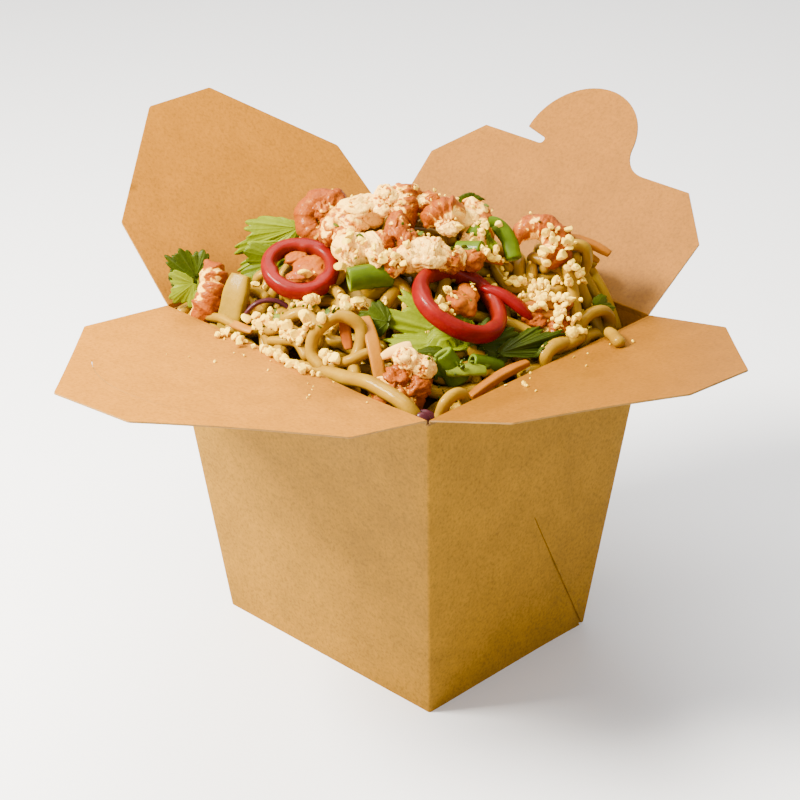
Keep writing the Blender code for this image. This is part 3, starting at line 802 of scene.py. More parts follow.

# Noodles laid on top: places (x, y, height over the rim), and a thickness.
LAID_NOODLES = (
    (1.08, ((9, -42.3, 0.2), (5, -42, 2.6), (4.2, -40.3, 7.3), (6.5, -38, 11.1), (8.9, -35.4, 13.1),
            (11.7, -33.7, 12.5), (14, -32.6, 10.6), (15.4, -33.7, 6.7), (16.3, -37.3, 2), (18.5, -39.4, 0))),
    (1.0, ((10, -41, 0.5), (13, -39.6, 1.7), (16.7, -37.7, 3.8), (18.6, -33.9, 4.8), (21, -30, 2.9))),
    (1.25, ((3, -42.4, -3.4), (7.8, -42.6, -1.4), (13.2, -42.6, -0.2), (20.1, -42.6, 0.7),
            (26.5, -42.6, 2.0), (32.8, -42.6, 1.6), (37.9, -42.6, 0.9), (41.1, -42.4, -0.4),
            (42.6, -42, -2), (43.5, -41, -6))),
    (1.0, ((-16, -39, 2.9), (-13.5, -40.5, 3), (-8.5, -38.4, 4.9), (-3.4, -38.3, 4.7),
           (0.9, -38.4, 3.4), (4, -40, 1))),
    (0.9, ((-11, -42, 1.3), (-8.3, -41.3, 2), (-2.8, -40.1, 2.8), (2, -41.5, 1))),
    (1.25, ((-13, -34, 5.6), (-10.7, -36.2, 6.2), (-7.3, -34.5, 8.2), (-3.1, -34.4, 8),
            (-0.4, -34.8, 6.6), (2, -37, 3.1))),
    (1.1, ((32, -10, 5.2), (35.1, -12.4, 4.8), (39, -12.2, 3), (42, -13, -0.2))),
    (1.1, ((47.2, -36.6, -3.0), (47.9, -35.2, 0.8), (48.3, -32.0, 2.2), (48.4, -29.0, 0.8),
           (48.4, -28.8, -1.8), (48.4, -31.0, -4))),
    (1.1, ((48.4, 12.5, 1.8), (48.5, 9.5, 2.6), (48.6, 6, 2.6), (48.8, 3.2, 1.6), (48.8, 3.2, -1.6))),
    (1.15, ((46.5, 6, 1), (48.2, 9.9, 1.4), (48.6, 17.4, 2), (47, 20, 1.5))),
    (1.0, ((46, 21.6, 1), (46.2, 20.6, 3.4), (46.4, 22.6, 5.4), (46.6, 26.6, 6), (46.8, 30.6, 4.6),
           (47, 32.4, 1.2), (46.8, 31, -2), (46.6, 26.6, -2.6), (46.4, 23.4, -1.6))),
    (1.15, ((37.5, 25, 16.6), (38.9, 24.4, 14.2), (42.3, 22.4, 9.2), (45.7, 19.9, 4.5), (47.5, 19, 0))),
    (1.05, ((30.4, 23.6, 15), (32.7, 25.7, 19.6), (35.2, 28.2, 22), (38, 31, 21.4), (38.6, 32, 17.6),
            (37.3, 31.6, 13))),
    (1.0, ((36.6, 29, 18.6), (35.6, 28.6, 15.6), (34.1, 27.1, 13.2), (34.8, 25.8, 12.6))),
    (1.0, ((33, 1, 7.7), (36, 2.6, 6.9), (39.1, 4.9, 5.3), (41.8, 6, 4), (44, 7.5, 1.1))),
    (1.1, ((33, 10, 9), (34.5, 12.4, 10.7), (36.7, 16.9, 11.3), (38.1, 19.9, 12), (38.5, 23, 11.5))),
)


def heap(x, y):
    """Height of the smooth heap over the floor."""
    away = ((x - CROWN_AT[0]) / CROWN_WIDTH[0]) ** 2 + ((y - CROWN_AT[1]) / CROWN_WIDTH[1]) ** 2
    height = RIM + RIM_LEVEL + CROWN * np.exp(-away ** 1.3)
    for cx, cy, rise, width in SWELLS:
        height = height + rise * np.exp(-((x - cx) ** 2 + (y - cy) ** 2) / (2.0 * width * width))
    return height


class Relief:
    """Height of the food over a grid of cells, to lay the next piece on."""

    def __init__(self):
        x = np.arange(-REACH[0], REACH[0] + CELL / 2.0, CELL)
        y = np.arange(-REACH[1], REACH[1] + CELL / 2.0, CELL)
        self.x, self.y = np.meshgrid(x, y, indexing="ij")
        self.clear()

    def clear(self):
        """Back to the bare core."""
        self.top = heap(self.x, self.y) - DEPTH

    def cells(self, places):
        """Grid indices of places."""
        i = np.rint((places[..., 0] + REACH[0]) / CELL).astype(int)
        j = np.rint((places[..., 1] + REACH[1]) / CELL).astype(int)
        return (np.clip(i, 0, self.top.shape[0] - 1), np.clip(j, 0, self.top.shape[1] - 1))

    @staticmethod
    def disc(radius):
        """Cell offsets within a radius, and a ball's half height over each."""
        span = np.arange(-int(radius / CELL), int(radius / CELL) + 1)
        i, j = (part.ravel() for part in np.meshgrid(span, span))
        rest = radius ** 2 - (i ** 2 + j ** 2) * CELL ** 2
        return i[rest >= 0.0], j[rest >= 0.0], np.sqrt(rest[rest >= 0.0])

    def rest(self, places, radius):
        """Height of the centre of a ball that rests on the relief at each place."""
        i, j = self.cells(places)
        di, dj, height = self.disc(radius)
        rows = np.clip(i[..., None] + di, 0, self.top.shape[0] - 1)
        columns = np.clip(j[..., None] + dj, 0, self.top.shape[1] - 1)
        return (self.top[rows, columns] + height).max(-1)

    def cover(self, points, radius):
        """Raise the relief to the upper side of balls at the points."""
        i, j = self.cells(points)
        di, dj, height = self.disc(radius)
        rows = np.clip(i[..., None] + di, 0, self.top.shape[0] - 1)
        columns = np.clip(j[..., None] + dj, 0, self.top.shape[1] - 1)
        np.maximum.at(self.top, (rows, columns), points[..., 2, None] + height)


FOOD = Relief()


def wandering(draw, count, length, steps):
    """Flat curves of steady curl with a slow sway, each about its own middle."""
    share = np.linspace(0.0, 1.0, steps)
    curl = draw.normal(0.0, 1.0, (count, 1)) * 3.2 * share
    sway = draw.uniform(0.2, 1.2, (count, 1)) * np.sin(
        2.0 * math.pi * draw.uniform(0.7, 2.0, (count, 1)) * share + draw.uniform(0.0, 6.3, (count, 1)))
    heading = draw.uniform(0.0, 2.0 * math.pi, (count, 1)) + curl + sway
    step = (length / (steps - 1.0))[:, None]
    path = np.cumsum(np.stack([np.cos(heading), np.sin(heading)], -1) * step[..., None], axis=1)
    return path - path[:, steps // 2:steps // 2 + 1]


def wall_limits(height, radius):
    """How far from the middle a bar may lie at a height, along X and along Y."""
    drop = np.clip(1.0 - height / RIM, 0.0, None)
    return (WALL_X - radius - 0.3 - (TOP_X - BASE_X) * drop,
            WALL_Y - radius - 0.3 - (TOP_Y - BASE_Y) * drop)


def bridged(height, turns=5):
    """Raise each dip to the line between its neighbours, then soften the result."""
    height = height.copy()
    for _ in range(turns):
        height[..., 1:-1] = np.maximum(height[..., 1:-1], (height[..., :-2] + height[..., 2:]) / 2.0)
    for _ in range(2):
        height[..., 1:-1] = (height[..., :-2] + 2.0 * height[..., 1:-1] + height[..., 2:]) / 4.0
    return height


def heap_noodles(relief, radius, count, steps=44, tries=24):
    """Paths of noodles dropped one by one, each where the heap is still low."""
    draw = np.random.default_rng(11)
    full = heap(relief.x, relief.y)
    limit_x, limit_y = wall_limits(full - DEPTH, radius)
    open_cells = np.argwhere((np.abs(relief.x) < limit_x) & (np.abs(relief.y) < limit_y))
    paths = []
    for turn in range(count * 3):
        longest = 95.0 - 45.0 * turn / (count * 3.0)
        if len(paths) == count:
            break
        some = open_cells[draw.integers(0, len(open_cells), 400)]
        need = (full - relief.top)[some[:, 0], some[:, 1]]
        middle = some[np.argsort(-need)[:tries]]
        middle = np.stack([relief.x[middle[:, 0], 0], relief.y[0, middle[:, 1]]], -1)
        flat = wandering(draw, tries, draw.uniform(22.0, longest, tries), steps) + middle[:, None]
        for _ in range(3):
            most_x, most_y = wall_limits(heap(flat[..., 0], flat[..., 1]) - DEPTH, radius)
            flat[..., 0] = np.clip(flat[..., 0], -most_x, most_x)
            flat[..., 1] = np.clip(flat[..., 1], -most_y, most_y)
            flat[:, 1:-1] = (flat[:, :-2] + 2.0 * flat[:, 1:-1] + flat[:, 2:]) / 4.0
        height = bridged(relief.rest(flat, radius))
        ceiling = heap(flat[..., 0], flat[..., 1]) + CEILING
        over = np.clip(height - ceiling, 0.0, None).mean(1)
        best = np.argmin((height - ceiling).mean(1) + 6.0 * over)
        if over[best] > 0.8:
            continue
        height = np.minimum(height, ceiling)[best][:, None]
        path = np.concatenate([flat[best], height], 1)
        relief.cover(path, radius)
        paths.append(path)
    need = np.clip(full - relief.top, 0, 9)[(np.abs(relief.x) < 49) & (np.abs(relief.y) < 43)]
    return np.array(paths)


def noodle_bars(paths, radius, seed):
    """Noodles as slightly flattened bars whose thickness drifts along them."""
    count, steps = paths.shape[:2]
    draw = np.random.default_rng(seed)
    size = radius * draw.uniform(0.86, 1.08, (count, 1, 1))
    drift = 1.0 + 0.05 * waves(paths, 12.0, seed)[..., None]
    section = oval(12, 1.05, 0.93, 2.3)
    return swept(paths, size * drift * section[None, None])


def add_core(material):
    """The mass under the noodles: the lowered heap, straight sides and a flat bottom."""
    x = np.linspace(-1.0, 1.0, 61)
    y = np.linspace(-1.0, 1.0, 53)
    flat_x, flat_y = np.meshgrid(x, y, indexing="ij")
    inset = 0.6
    half_x, half_y = WALL_X - inset - 0.4, WALL_Y - inset - 0.4
    top = heap(flat_x * half_x, flat_y * half_y) - DEPTH
    layers = []
    for depth in (0.0, 0.3, 0.6, 1.0):
        z = top * (1.0 - depth) + (BOARD + 0.2) * depth
        shrink = 1.0 - z / RIM
        wide = half_x - (TOP_X - BASE_X) * np.clip(shrink, 0.0, None)
        deep = half_y - (TOP_Y - BASE_Y) * np.clip(shrink, 0.0, None)
        layers.append(np.stack([flat_x * wide, flat_y * deep, z], -1))
    rows, columns = top.shape
    ring = np.concatenate([np.arange(columns), np.arange(1, rows) * columns + columns - 1,
                           (rows - 1) * columns + np.arange(columns - 2, -1, -1),
                           np.arange(rows - 2, 0, -1) * columns])
    plane = grid_faces(rows, columns)
    points = [layers[0].reshape(-1, 3), *(layer.reshape(-1, 3)[ring] for layer in layers[1:3]),
              layers[3].reshape(-1, 3)]
    size, around = rows * columns, len(ring)
    starts = [ring, size + np.arange(around), size + around + np.arange(around),
              size + 2 * around + ring]
    faces = plane.tolist() + (plane[:, ::-1] + size + 2 * around).tolist()
    for upper, lower in zip(starts, starts[1:]):
        sides = np.stack([upper, np.roll(upper, -1), np.roll(lower, -1), lower], 1)
        faces += sides.tolist()
    points = np.concatenate(points)
    normal = np.cross(points[plane[0, 1]] - points[plane[0, 0]], points[plane[0, 3]] - points[plane[0, 0]])
    if normal[2] < 0.0:
        faces = [face[::-1] for face in faces]
    piece = add_piece("noodle_core", (points, faces, points[:, :2] / 100.0), [material])
    settle(piece, "box", "noodle")


def noodle_material(name, colour, shade):
    """Oily egg noodle: two yellows in soft patches along it, with a wet coat."""
    material, tree, shader = new_material(name, 0.5, Coat_Weight=0.12, Coat_Roughness=0.07,
                                          Specular_IOR_Level=0.3,
                                          Specular_Tint=(1.0, 0.72, 0.12, 1.0))
    blotches, specks = speckles(tree, 140.0, 700.0)
    base = ramp(tree, blotches, (0.34, shade), (0.60, colour))
    tree.links.new(base, shader.inputs["Base Color"])
    relief_normal(tree, shader, specks, 0.0002, 0.4)
    return material


class NOODLEBOX_OT_noodles(Operator):
    """Fill the box with noodles and lay the ones that show on top"""
    bl_idname = "noodlebox.noodles"
    bl_label = "Noodles"

    def execute(self, context):
        settings = context.scene.noodle_food
        colour, shade = tuple(settings.colour), tuple(settings.shade)
        material = noodle_material("noodle", colour, shade)
        # The core takes the noodles' shade colour darkened to 0.45 and 0.25: painted shade for the gaps between
        # the noodles.
        core = noodle_material("noodle_core", tuple(c * 0.45 for c in shade),
                               tuple(c * 0.25 for c in shade))
        add_core(core)
        FOOD.clear()
        paths = heap_noodles(FOOD, settings.radius, settings.count)
        piece = add_piece("noodles", noodle_bars(paths, settings.radius, 3), [material])
        settle(piece, "box", "noodle", "noodle_heap")
        paths = np.array([through(places, 60) for _, places in LAID_NOODLES]) + (0.0, 0.0, RIM)
        sizes = settings.radius * np.array([size for size, _ in LAID_NOODLES])
        for path, size in zip(paths, sizes):
            FOOD.cover(path, size)
        piece = add_piece("noodles_on_top", noodle_bars(paths, sizes[:, None, None], 4), [material])
        settle(piece, "box", "noodle")
        return {"FINISHED"}


# Prawns -----------------------------------------------------------------------------
SEGMENTS = 5

# Each row: x, y, lift, curl radius, sweep, thickness, tail, spin, tilt, heading, redness and
# the height of the segments' steps.
PRAWNS = {
    "prawn_front": (32.3, -34.2, 3.5, 5.2, 200.0, 5.2, 0.60, -60.0, 60.0, -40.0, 0.85, 0.10),
    "prawn_left": (-40.5, -38.0, 4.0, 13.5, 74.0, 4.9, 0.70, 40.0, 60.0, -50.0, 1.4, 0.09),
    "prawn_crown_left": (-25.5, -9.5, 3.4, 6.0, 250.0, 4.2, 0.50, 130.0, 42.0, -46.0, 1.15, 0.06),
    "prawn_crown_tail": (-11.5, -12.5, 5.5, 10.0, 100.0, 4.8, 0.50, 150.0, 50.0, -46.0, 0.35, 0.03),
    "prawn_flake": (0.0, -16.5, 6.0, 12.0, 60.0, 5.2, 0.90, -30.0, 40.0, -46.0, 0.12, 0.03),
    "prawn_crown": (-2.0, 0.0, 6.0, 9.0, 80.0, 4.8, 0.70, 40.0, 50.0, -46.0, 0.6, 0.06),
    "prawn_crown_right": (13.0, 13.0, 7.0, 8.0, 150.0, 4.4, 0.55, 20.0, 45.0, -46.0, 0.3, 0.04),
    "prawn_crown_fold": (8.3, 4.0, 7.0, 8.0, 75.0, 4.2, 0.70, 160.0, 40.0, -46.0, 1.0, 0.05),
    "prawn_middle": (13.0, -9.5, 5.5, 12.0, 70.0, 5.0, 0.70, 150.0, 30.0, -46.0, 0.15, 0.02),
    "prawn_back": (27.5, 24.5, 5.5, 6.0, 220.0, 4.4, 0.55, 45.0, 45.0, -46.0, 0.8, 0.06),
}

# Loose pieces of prawn between them: x, y, lift, length, width, thickness, spin, redness.
PRAWN_BITS = (
    (-8.1, -9.6, 8.0, 6.5, 4.0, 3.0, 20.0, 0.05), (-8.8, -13.6, 7.0, 4.5, 3.5, 3.0, -30.0, 0.1),
    (-4.4, -4.2, 8.0, 4.0, 5.0, 3.0, 0.0, 0.1), (-3.4, 2.6, 7.0, 4.5, 3.5, 3.0, 0.0, 0.35),
    (2.1, 4.9, 7.0, 4.5, 3.5, 3.0, 10.0, 0.5), (4.4, -8.9, 8.0, 3.2, 5.0, 3.0, 0.0, 1.0),
    (3.6, -13.2, 7.0, 3.0, 3.0, 2.5, 0.0, 0.7), (6.4, 6.4, 8.0, 5.5, 2.0, 1.5, 25.0, 0.05),
    (10.6, 10.8, 7.0, 5.0, 3.5, 3.0, -10.0, 0.03), (12.6, 3.1, 7.0, 3.5, 3.0, 2.5, 0.0, 0.1),
    (21.5, 2.6, 6.0, 4.0, 3.5, 2.8, 0.0, 0.6), (-7.3, -17.0, 7.0, 3.0, 3.0, 2.5, 0.0, 0.5),
    (-13.8, -16.5, 6.0, 3.5, 4.5, 3.0, 30.0, 0.45), (-25.2, -8.5, 5.0, 3.5, 3.5, 3.0, 0.0, 0.55),
    (8.9, -8.9, 7.0, 3.0, 3.0, 2.5, 0.0, 0.6), (-1.6, -20.0, 6.0, 3.5, 5.5, 3.0, -10.0, 0.05),
    (4.5, -17.2, 8.0, 3.0, 5.5, 2.5, 15.0, 0.03), (10.2, -15.3, 7.0, 3.0, 4.5, 2.5, -25.0, 0.4),
    (15.9, -8.3, 7.0, 5.0, 4.2, 3.5, 0.0, 0.03), (19.6, -3.6, 6.5, 4.5, 3.8, 3.2, 0.0, 0.4),
    (32.0, -32.6, 9.5, 4.2, 3.6, 3.4, 0.0, 0.1), (35.4, -30.4, 8.5, 3.8, 3.6, 3.4, 0.0, 0.2),
    (31.4, -36.0, 6.4, 4.0, 3.6, 3.2, 0.0, 1.0), (35.2, -33.6, 5.0, 4.0, 4.0, 3.4, 0.0, 0.8),
    (39.0, 11.0, 2.5, 4.5, 3.5, 2.5, 0.0, 0.9), (43.0, 14.0, 2.2, 4.0, 3.5, 2.5, 0.0, 0.8),
    (40.5, 18.0, 3.0, 4.0, 3.0, 2.5, 20.0, 0.8),
)


def curl(radius, sweep, steps, close=1.0):
    """A flat hook about its own middle: an arc whose radius shrinks to the share close."""
    share = np.linspace(0.0, 1.0, steps)
    reach = radius * (1.0 + (close - 1.0) * share)
    angle = math.radians(sweep) * share
    points = np.stack([np.cos(angle) * reach, np.sin(angle) * reach, 0.0 * share], 1)
    return points - points.mean(0)


def rod(length, bow, steps):
    """A straight stick along X about its own middle, bowed upwards in its middle."""
    share = np.linspace(-1.0, 1.0, steps)
    return np.stack([share * length / 2.0, 0.0 * share, bow * (1.0 - share ** 2)], 1)


def turned(spin, tilt, heading):
    """Rotation that spins in the piece's own plane, tips it and turns it to its heading."""
    turn = Matrix.Rotation(math.radians(heading), 3, "Z")
    turn = turn @ Matrix.Rotation(math.radians(tilt), 3, "Y")
    return np.array(turn @ Matrix.Rotation(math.radians(spin), 3, "Z"))


def on_heap(x, y, lift):
    """A point above the smooth heap."""
    return np.array([x, y, heap(x, y) + lift])


def over_caps(values, cap):
    """Values of each ring and angle, spread to the cap's rings and the two poles."""
    rings = len(CAPS[cap])
    rows = np.concatenate([np.repeat(values[:1], rings, 0), values, np.repeat(values[-1:], rings, 0)])
    return np.concatenate([rows.ravel(), [values[0].mean(), values[-1].mean()]])


def prawn(place, seed, steps=90, sides=44):
    """A peeled prawn: its shape, and how red each point is.

    The body is a tapering bar along a hook.  Its radius rises slowly along each segment and
    drops at the segment's end, most at the back; the belly is flat and grooved.
    """
    x, y, lift, radius, sweep, thick, tail, spin, tilt, heading, red, step = place
    turn = turned(spin, tilt, heading)
    path = on_heap(x, y, lift) + curl(radius, sweep, steps, 0.8) @ turn.T
    share = np.linspace(0.0, 1.0, steps)[:, None]
    angle = (2.0 * math.pi * np.arange(sides) / sides)[None]
    back = (1.0 + np.cos(angle)) / 2.0
    # The segments run a little aslant round the body.
    along = share * SEGMENTS + 0.10 * np.cos(angle * 2.0) + 0.2
    local = along % 1.0
    plate = smooth_step(0.0, 0.7, local) * (1.0 - smooth_step(0.86, 1.0, local))
    base = (thick * np.minimum(1.0, 0.72 + 3.0 * share) * (1.0 - (1.0 - tail) * share ** 1.6)
            * np.minimum(1.0, 0.35 + 4.0 * (1.0 - share)))
    reach = base * (1.0 - step + 2.0 * step * plate * (0.3 + 0.7 * back))
    reach = reach * (1.0 - 0.10 * np.exp(-((angle - math.pi) / 0.35) ** 2))
    _, normal, side = carried_frames(path[None], turn[:, 0][None])
    out = np.cos(angle)[..., None] * normal[0][:, None] + np.sin(angle)[..., None] * side[0][:, None]
    skin = path[:, None] + out * reach[..., None]
    torn = 0.10 * np.clip(1.0 - share * 6.0, 0.0, 1.0)
    groove = np.exp(-(waves(skin, 5.0, seed + 4) / 0.10) ** 2)
    reach = reach * (1.0 + 0.11 * waves(skin, 6.0, seed) + (0.05 + torn) * waves(skin, 2.2, seed + 1)
                     - 0.06 * groove)
    band = smooth_step(0.25, 0.7, local) * (1.0 - smooth_step(0.88, 1.0, local))
    colour = (back ** 0.8 * (0.65 + 0.5 * band) + 0.45 * waves(skin, 6.0, seed + 2)
              + 0.30 * waves(skin, 1.6, seed + 3)) * red
    colour = colour + 0.25 * red * smooth_step(0.75, 1.0, share) - 0.3 * (1.0 - red) * torn
    colour = colour + 0.22 * groove
    shape = swept(path, reach, first=turn[:, 0][None])
    return shape, np.clip(over_caps(colour, "round"), 0.0, 1.0)


def lump(centre, size, turn, seed, rough=0.22, rows=36, columns=52):
    """A soft lump: a ball squeezed to a size, pulled into lobes by noise and grooved where
    a second noise is near nothing; with how deep in a groove each point is.
    """
    tall = np.linspace(-1.0, 1.0, rows + 2)[1:-1] * math.pi / 2.0
    around = 2.0 * math.pi * np.arange(columns) / columns
    flat = np.stack([np.cos(tall)[:, None] * np.cos(around), np.cos(tall)[:, None] * np.sin(around),
                     np.broadcast_to(np.sin(tall)[:, None], (rows, columns))], -1).reshape(-1, 3)
    flat = np.concatenate([flat, [[0.0, 0.0, -1.0], [0.0, 0.0, 1.0]]])
    swell = 1.0 + rough * waves(flat, 1.3, seed) + 0.3 * rough * waves(flat, 0.4, seed + 1)
    groove = np.exp(-(waves(flat, 1.1, seed + 2) / 0.10) ** 2)
    swell = swell - 0.35 * rough * groove
    points = centre + (flat * swell[:, None] * size) @ np.asarray(turn).T
    faces = grid_faces(rows, columns, wrap_columns=True).tolist()
    turn_index = np.arange(columns)
    after = (turn_index + 1) % columns
    low = np.stack([after, turn_index, np.full(columns, rows * columns)], 1)
    last = (rows - 1) * columns
    high = np.stack([last + turn_index, last + after, np.full(columns, rows * columns + 1)], 1)
    return (points, faces + low.tolist() + high.tolist(), points[:, :2] / 100.0), groove


def prawn_bits():
    """The loose pieces, and how red each point is."""
    made, colours = [], []
    for seed, (x, y, lift, long, wide, thick, spin, red) in enumerate(PRAWN_BITS):
        turn = turned(90.0 + spin, 30.0, -46.0)
        shape, groove = lump(on_heap(x, y, lift), (long, wide, thick), turn, seed + 60, 0.3)
        made.append(shape)
        colours.append(red * (0.75 + 0.7 * waves(shape[0], 5.0, seed) + 0.3 * waves(shape[0], 1.6, seed + 1))
                       + 0.28 * groove)
    return joined(made), np.clip(np.concatenate(colours), 0.0, 1.0)


def prawn_material(white, red):
    """Cooked prawn: cream flesh to orange to red by how red a point is, and moist."""
    material, tree, shader = new_material("prawn", 0.5, Coat_Weight=0.09, Coat_Roughness=0.1,
                                          Specular_IOR_Level=0.3,
                                          Specular_Tint=(1.0, 0.55, 0.15, 1.0))
    amount = node(tree, "ShaderNodeAttribute", attribute_name="shade").outputs["Fac"]
    blotches, specks = speckles(tree, 500.0, 1800.0)
    uneven = node(tree, "ShaderNodeMath", operation="MULTIPLY_ADD", in_0=blotches, in_1=0.55,
                  in_2=amount)
    orange = tuple(r * 0.95 + w * k for r, w, k in zip(red, white, (0.11, 0.075, 0.0)))
    pale = tuple(w * k for w, k in zip(white, (0.8, 0.62, 0.2)))
    base = ramp(tree, uneven.outputs[0], (0.40, white), (0.50, pale), (0.58, orange), (0.82, red))
    flecks = ramp(tree, specks, (0.60, (1.0,) * 3), (0.68, (0.62, 0.30, 0.12)))
    tree.links.new(blend_colours(tree, 1.0, base, flecks, "MULTIPLY"), shader.inputs["Base Color"])
    relief_normal(tree, shader, specks, 0.0004, 0.6)
    return material


class NOODLEBOX_OT_prawns(Operator):
    """Make the ten peeled prawns"""
    bl_idname = "noodlebox.prawns"
    bl_label = "Prawns"

    def execute(self, context):
        settings = context.scene.noodle_toppings
        material = prawn_material(tuple(settings.prawn_white), tuple(settings.prawn_red))
        for index, (name, place) in enumerate(PRAWNS.items()):
            shape, colour = prawn(place, 20 + index * 7)
            piece = add_piece(name + "_body", shape, [material], colour)
            settle(piece, "box", "prawn", name)
            FOOD.cover(shape[0], 0.4)
        shape, colour = prawn_bits()
        settle(add_piece("prawn_bits", shape, [material], colour), "box", "prawn")
        FOOD.cover(shape[0], 0.4)
        return {"FINISHED"}


# Vegetables -------------------------------------------------------------------------
def hoop(path, radius, axis):
    """A closed bar round a flat loop; a ring's point is path + r(angle) (cos out + sin axis)."""
    sides = radius.shape[-1]
    radius = np.broadcast_to(radius, (len(path), sides))
    tangent = unit(np.roll(path, -1, 0) - np.roll(path, 1, 0))
    outward = np.cross(tangent, axis)
    angle = 2.0 * math.pi * np.arange(sides) / sides
    points = (path[:, None] + (radius * np.cos(angle))[..., None] * outward[:, None]
              + (radius * np.sin(angle))[..., None] * np.asarray(axis)[None, None])
    uv = np.stack([np.repeat(np.arange(len(path)) / len(path), sides),
                   np.tile(np.arange(sides) / sides, len(path))], 1)
    return points.reshape(-1, 3), grid_faces(len(path), sides, True, True).tolist(), uv


def chilli_ring(place, size, turn, seed, steps=120, sides=28):
    """A slice of a chilli: its skin outside, two cut faces and ribs inside.

    The loop's radius wavers; the wall's section is a rounded block, flatter on the inside.
    """
    angle = np.linspace(0.0, 2.0 * math.pi, steps, endpoint=False)
    waver = 1.0 + 0.035 * np.sin(2.0 * angle + seed) + 0.02 * np.sin(3.0 * angle + 2.0 * seed)
    flat = np.stack([np.cos(angle), np.sin(angle), 0.0 * angle], 1) * (size * waver)[:, None]
    section = oval(sides, 2.0, 2.45, 2.8)
    around = 2.0 * math.pi * np.arange(sides) / sides
    inner = smooth_step(0.2, 0.9, -np.cos(around))
    ribs = 0.28 * np.exp(-((angle[:, None] - seed % 2.0 - np.array([0.4, 2.4, 4.6])) / 0.22) ** 2).sum(1)
    radius = section[None] * (1.0 + ribs[:, None] * inner[None])
    radius = radius * (1.0 + 0.02 * waves(flat, 4.0, seed)[:, None])
    path = place + flat @ turn.T
    shape = hoop(path, radius, turn[:, 2])
    flesh = np.clip(smooth_step(0.55, 0.8, np.abs(np.sin(around))) * 0.35 + inner, 0.0, 1.0)
    return shape, np.tile(flesh, steps)


def tube(path, radius, first, hollow=0.62, sides=40):
    """A hollow stalk: out along the path and back inside it, with round cut lips."""
    _, normal, side = carried_frames(path[None], first)
    steps = len(path)
    angle = 2.0 * math.pi * np.arange(sides) / sides
    lip = np.array([1.0, 0.985, 0.93])
    order = np.concatenate([np.arange(steps), [steps - 1] * 2, np.arange(steps)[::-1], [0] * 2])
    inner_lip = hollow + (1.0 - lip) * 0.6
    share = np.concatenate([np.full(steps, 1.0), [0.93, hollow + 0.06], np.full(steps, hollow),
                            [hollow + 0.06, 0.93]])
    tangent = unit(np.gradient(path, axis=0))
    push = np.zeros(len(order))
    push[steps:steps + 2] = 0.18
    push[-2:] = -0.18
    centre = path[order] + tangent[order] * push[:, None]
    reach = radius * share[:, None]
    points = (centre[:, None] + (reach * np.cos(angle))[..., None] * normal[0][order][:, None]
              + (reach * np.sin(angle))[..., None] * side[0][order][:, None])
    rows = len(order)
    uv = np.stack([np.repeat(order / (steps - 1.0), sides), np.tile(np.arange(sides) / sides, rows)], 1)
    cut = np.repeat(np.clip((1.0 - share) * 2.2, 0.0, 1.0), sides)
    return (points.reshape(-1, 3), grid_faces(rows, sides, True, True).tolist(), uv), cut


# Each row: x, y, lift, length, bow, radius, spin, tilt, heading, flatness.
STALKS = {
    "spring_onion_middle": (6.0, -20.6, 5.2, 12.0, 0.3, 3.5, 0.0, 0.0, 60.0, 0.74),
    "spring_onion_back": (19.8, 4.2, 6.4, 7.0, 0.0, 2.8, 0.0, -10.0, 20.0, 0.92),
    "spring_onion_front": (37.0, -22.0, 3.5, 9.0, 0.2, 3.3, 0.0, 60.0, 40.0, 0.85),
    "spring_onion_small": (41.0, -12.0, 1.2, 9.0, 0.0, 2.3, 0.0, 20.0, 70.0, 0.9),
}

CURVED_STALK = ((16.4, 9.0, 24.6), (16.4, 13.0, 27.0), (18.0, 16.6, 26.4), (21.4, 17.6, 23.6),
                (25.4, 16.0, 18.8))
# Each row: material, x, y, lift, length, bow, wide, high, spin, tilt, heading.
STICKS = {
    "mango_stick": ("mango", -30.0, -38.2, 0.6, 18.0, 0.8, 3.9, 2.0, 0.0, -66.0, 104.0),
    "carrot_front": ("carrot", 47.0, -13.4, 1.0, 20.0, 1.0, 1.55, 1.15, 0.0, -12.0, 82.0),
    "carrot_ribbon": ("carrot_pale", 19.2, -32.9, 3.6, 21.0, 2.0, 1.9, 0.8, 0.0, 40.0, -30.0),
    "carrot_back": ("carrot", 35.8, 36.3, 5.6, 12.0, 0.5, 1.5, 1.1, 0.0, 15.0, 20.0),
}


def stick(row, steps=40, sides=28):
    """A cut stick: a bowed bar with a rounded square section, thinner to its ends."""
    x, y, lift, length, bow, wide, high, spin, tilt, heading = row
    turn = turned(spin, tilt, heading)
    path = on_heap(x, y, lift) + rod(length, bow, steps) @ turn.T
    share = np.linspace(-1.0, 1.0, steps)[:, None]
    section = oval(sides, wide, high, 4.0)
    ease = 1.0 - 0.25 * np.abs(share) ** 3
    uneven = 1.0 + 0.05 * waves(path, 6.0, int(length))[:, None]
    return swept(path, section * ease * uneven, "flat", turn[:, 1][None])


def flesh_material(name, stops, roughness=0.5, grain=900.0, coat=0.06):
    """Moist plant flesh: colours along its soft blotches, with fine grain."""
    material, tree, shader = new_material(name, roughness, Coat_Weight=coat, Coat_Roughness=0.12,
                                          Specular_IOR_Level=0.08)
    blotches, specks = speckles(tree, 200.0, grain)
    tree.links.new(ramp(tree, blotches, *stops), shader.inputs["Base Color"])
    relief_normal(tree, shader, specks, 0.00025, 0.4)
    return material


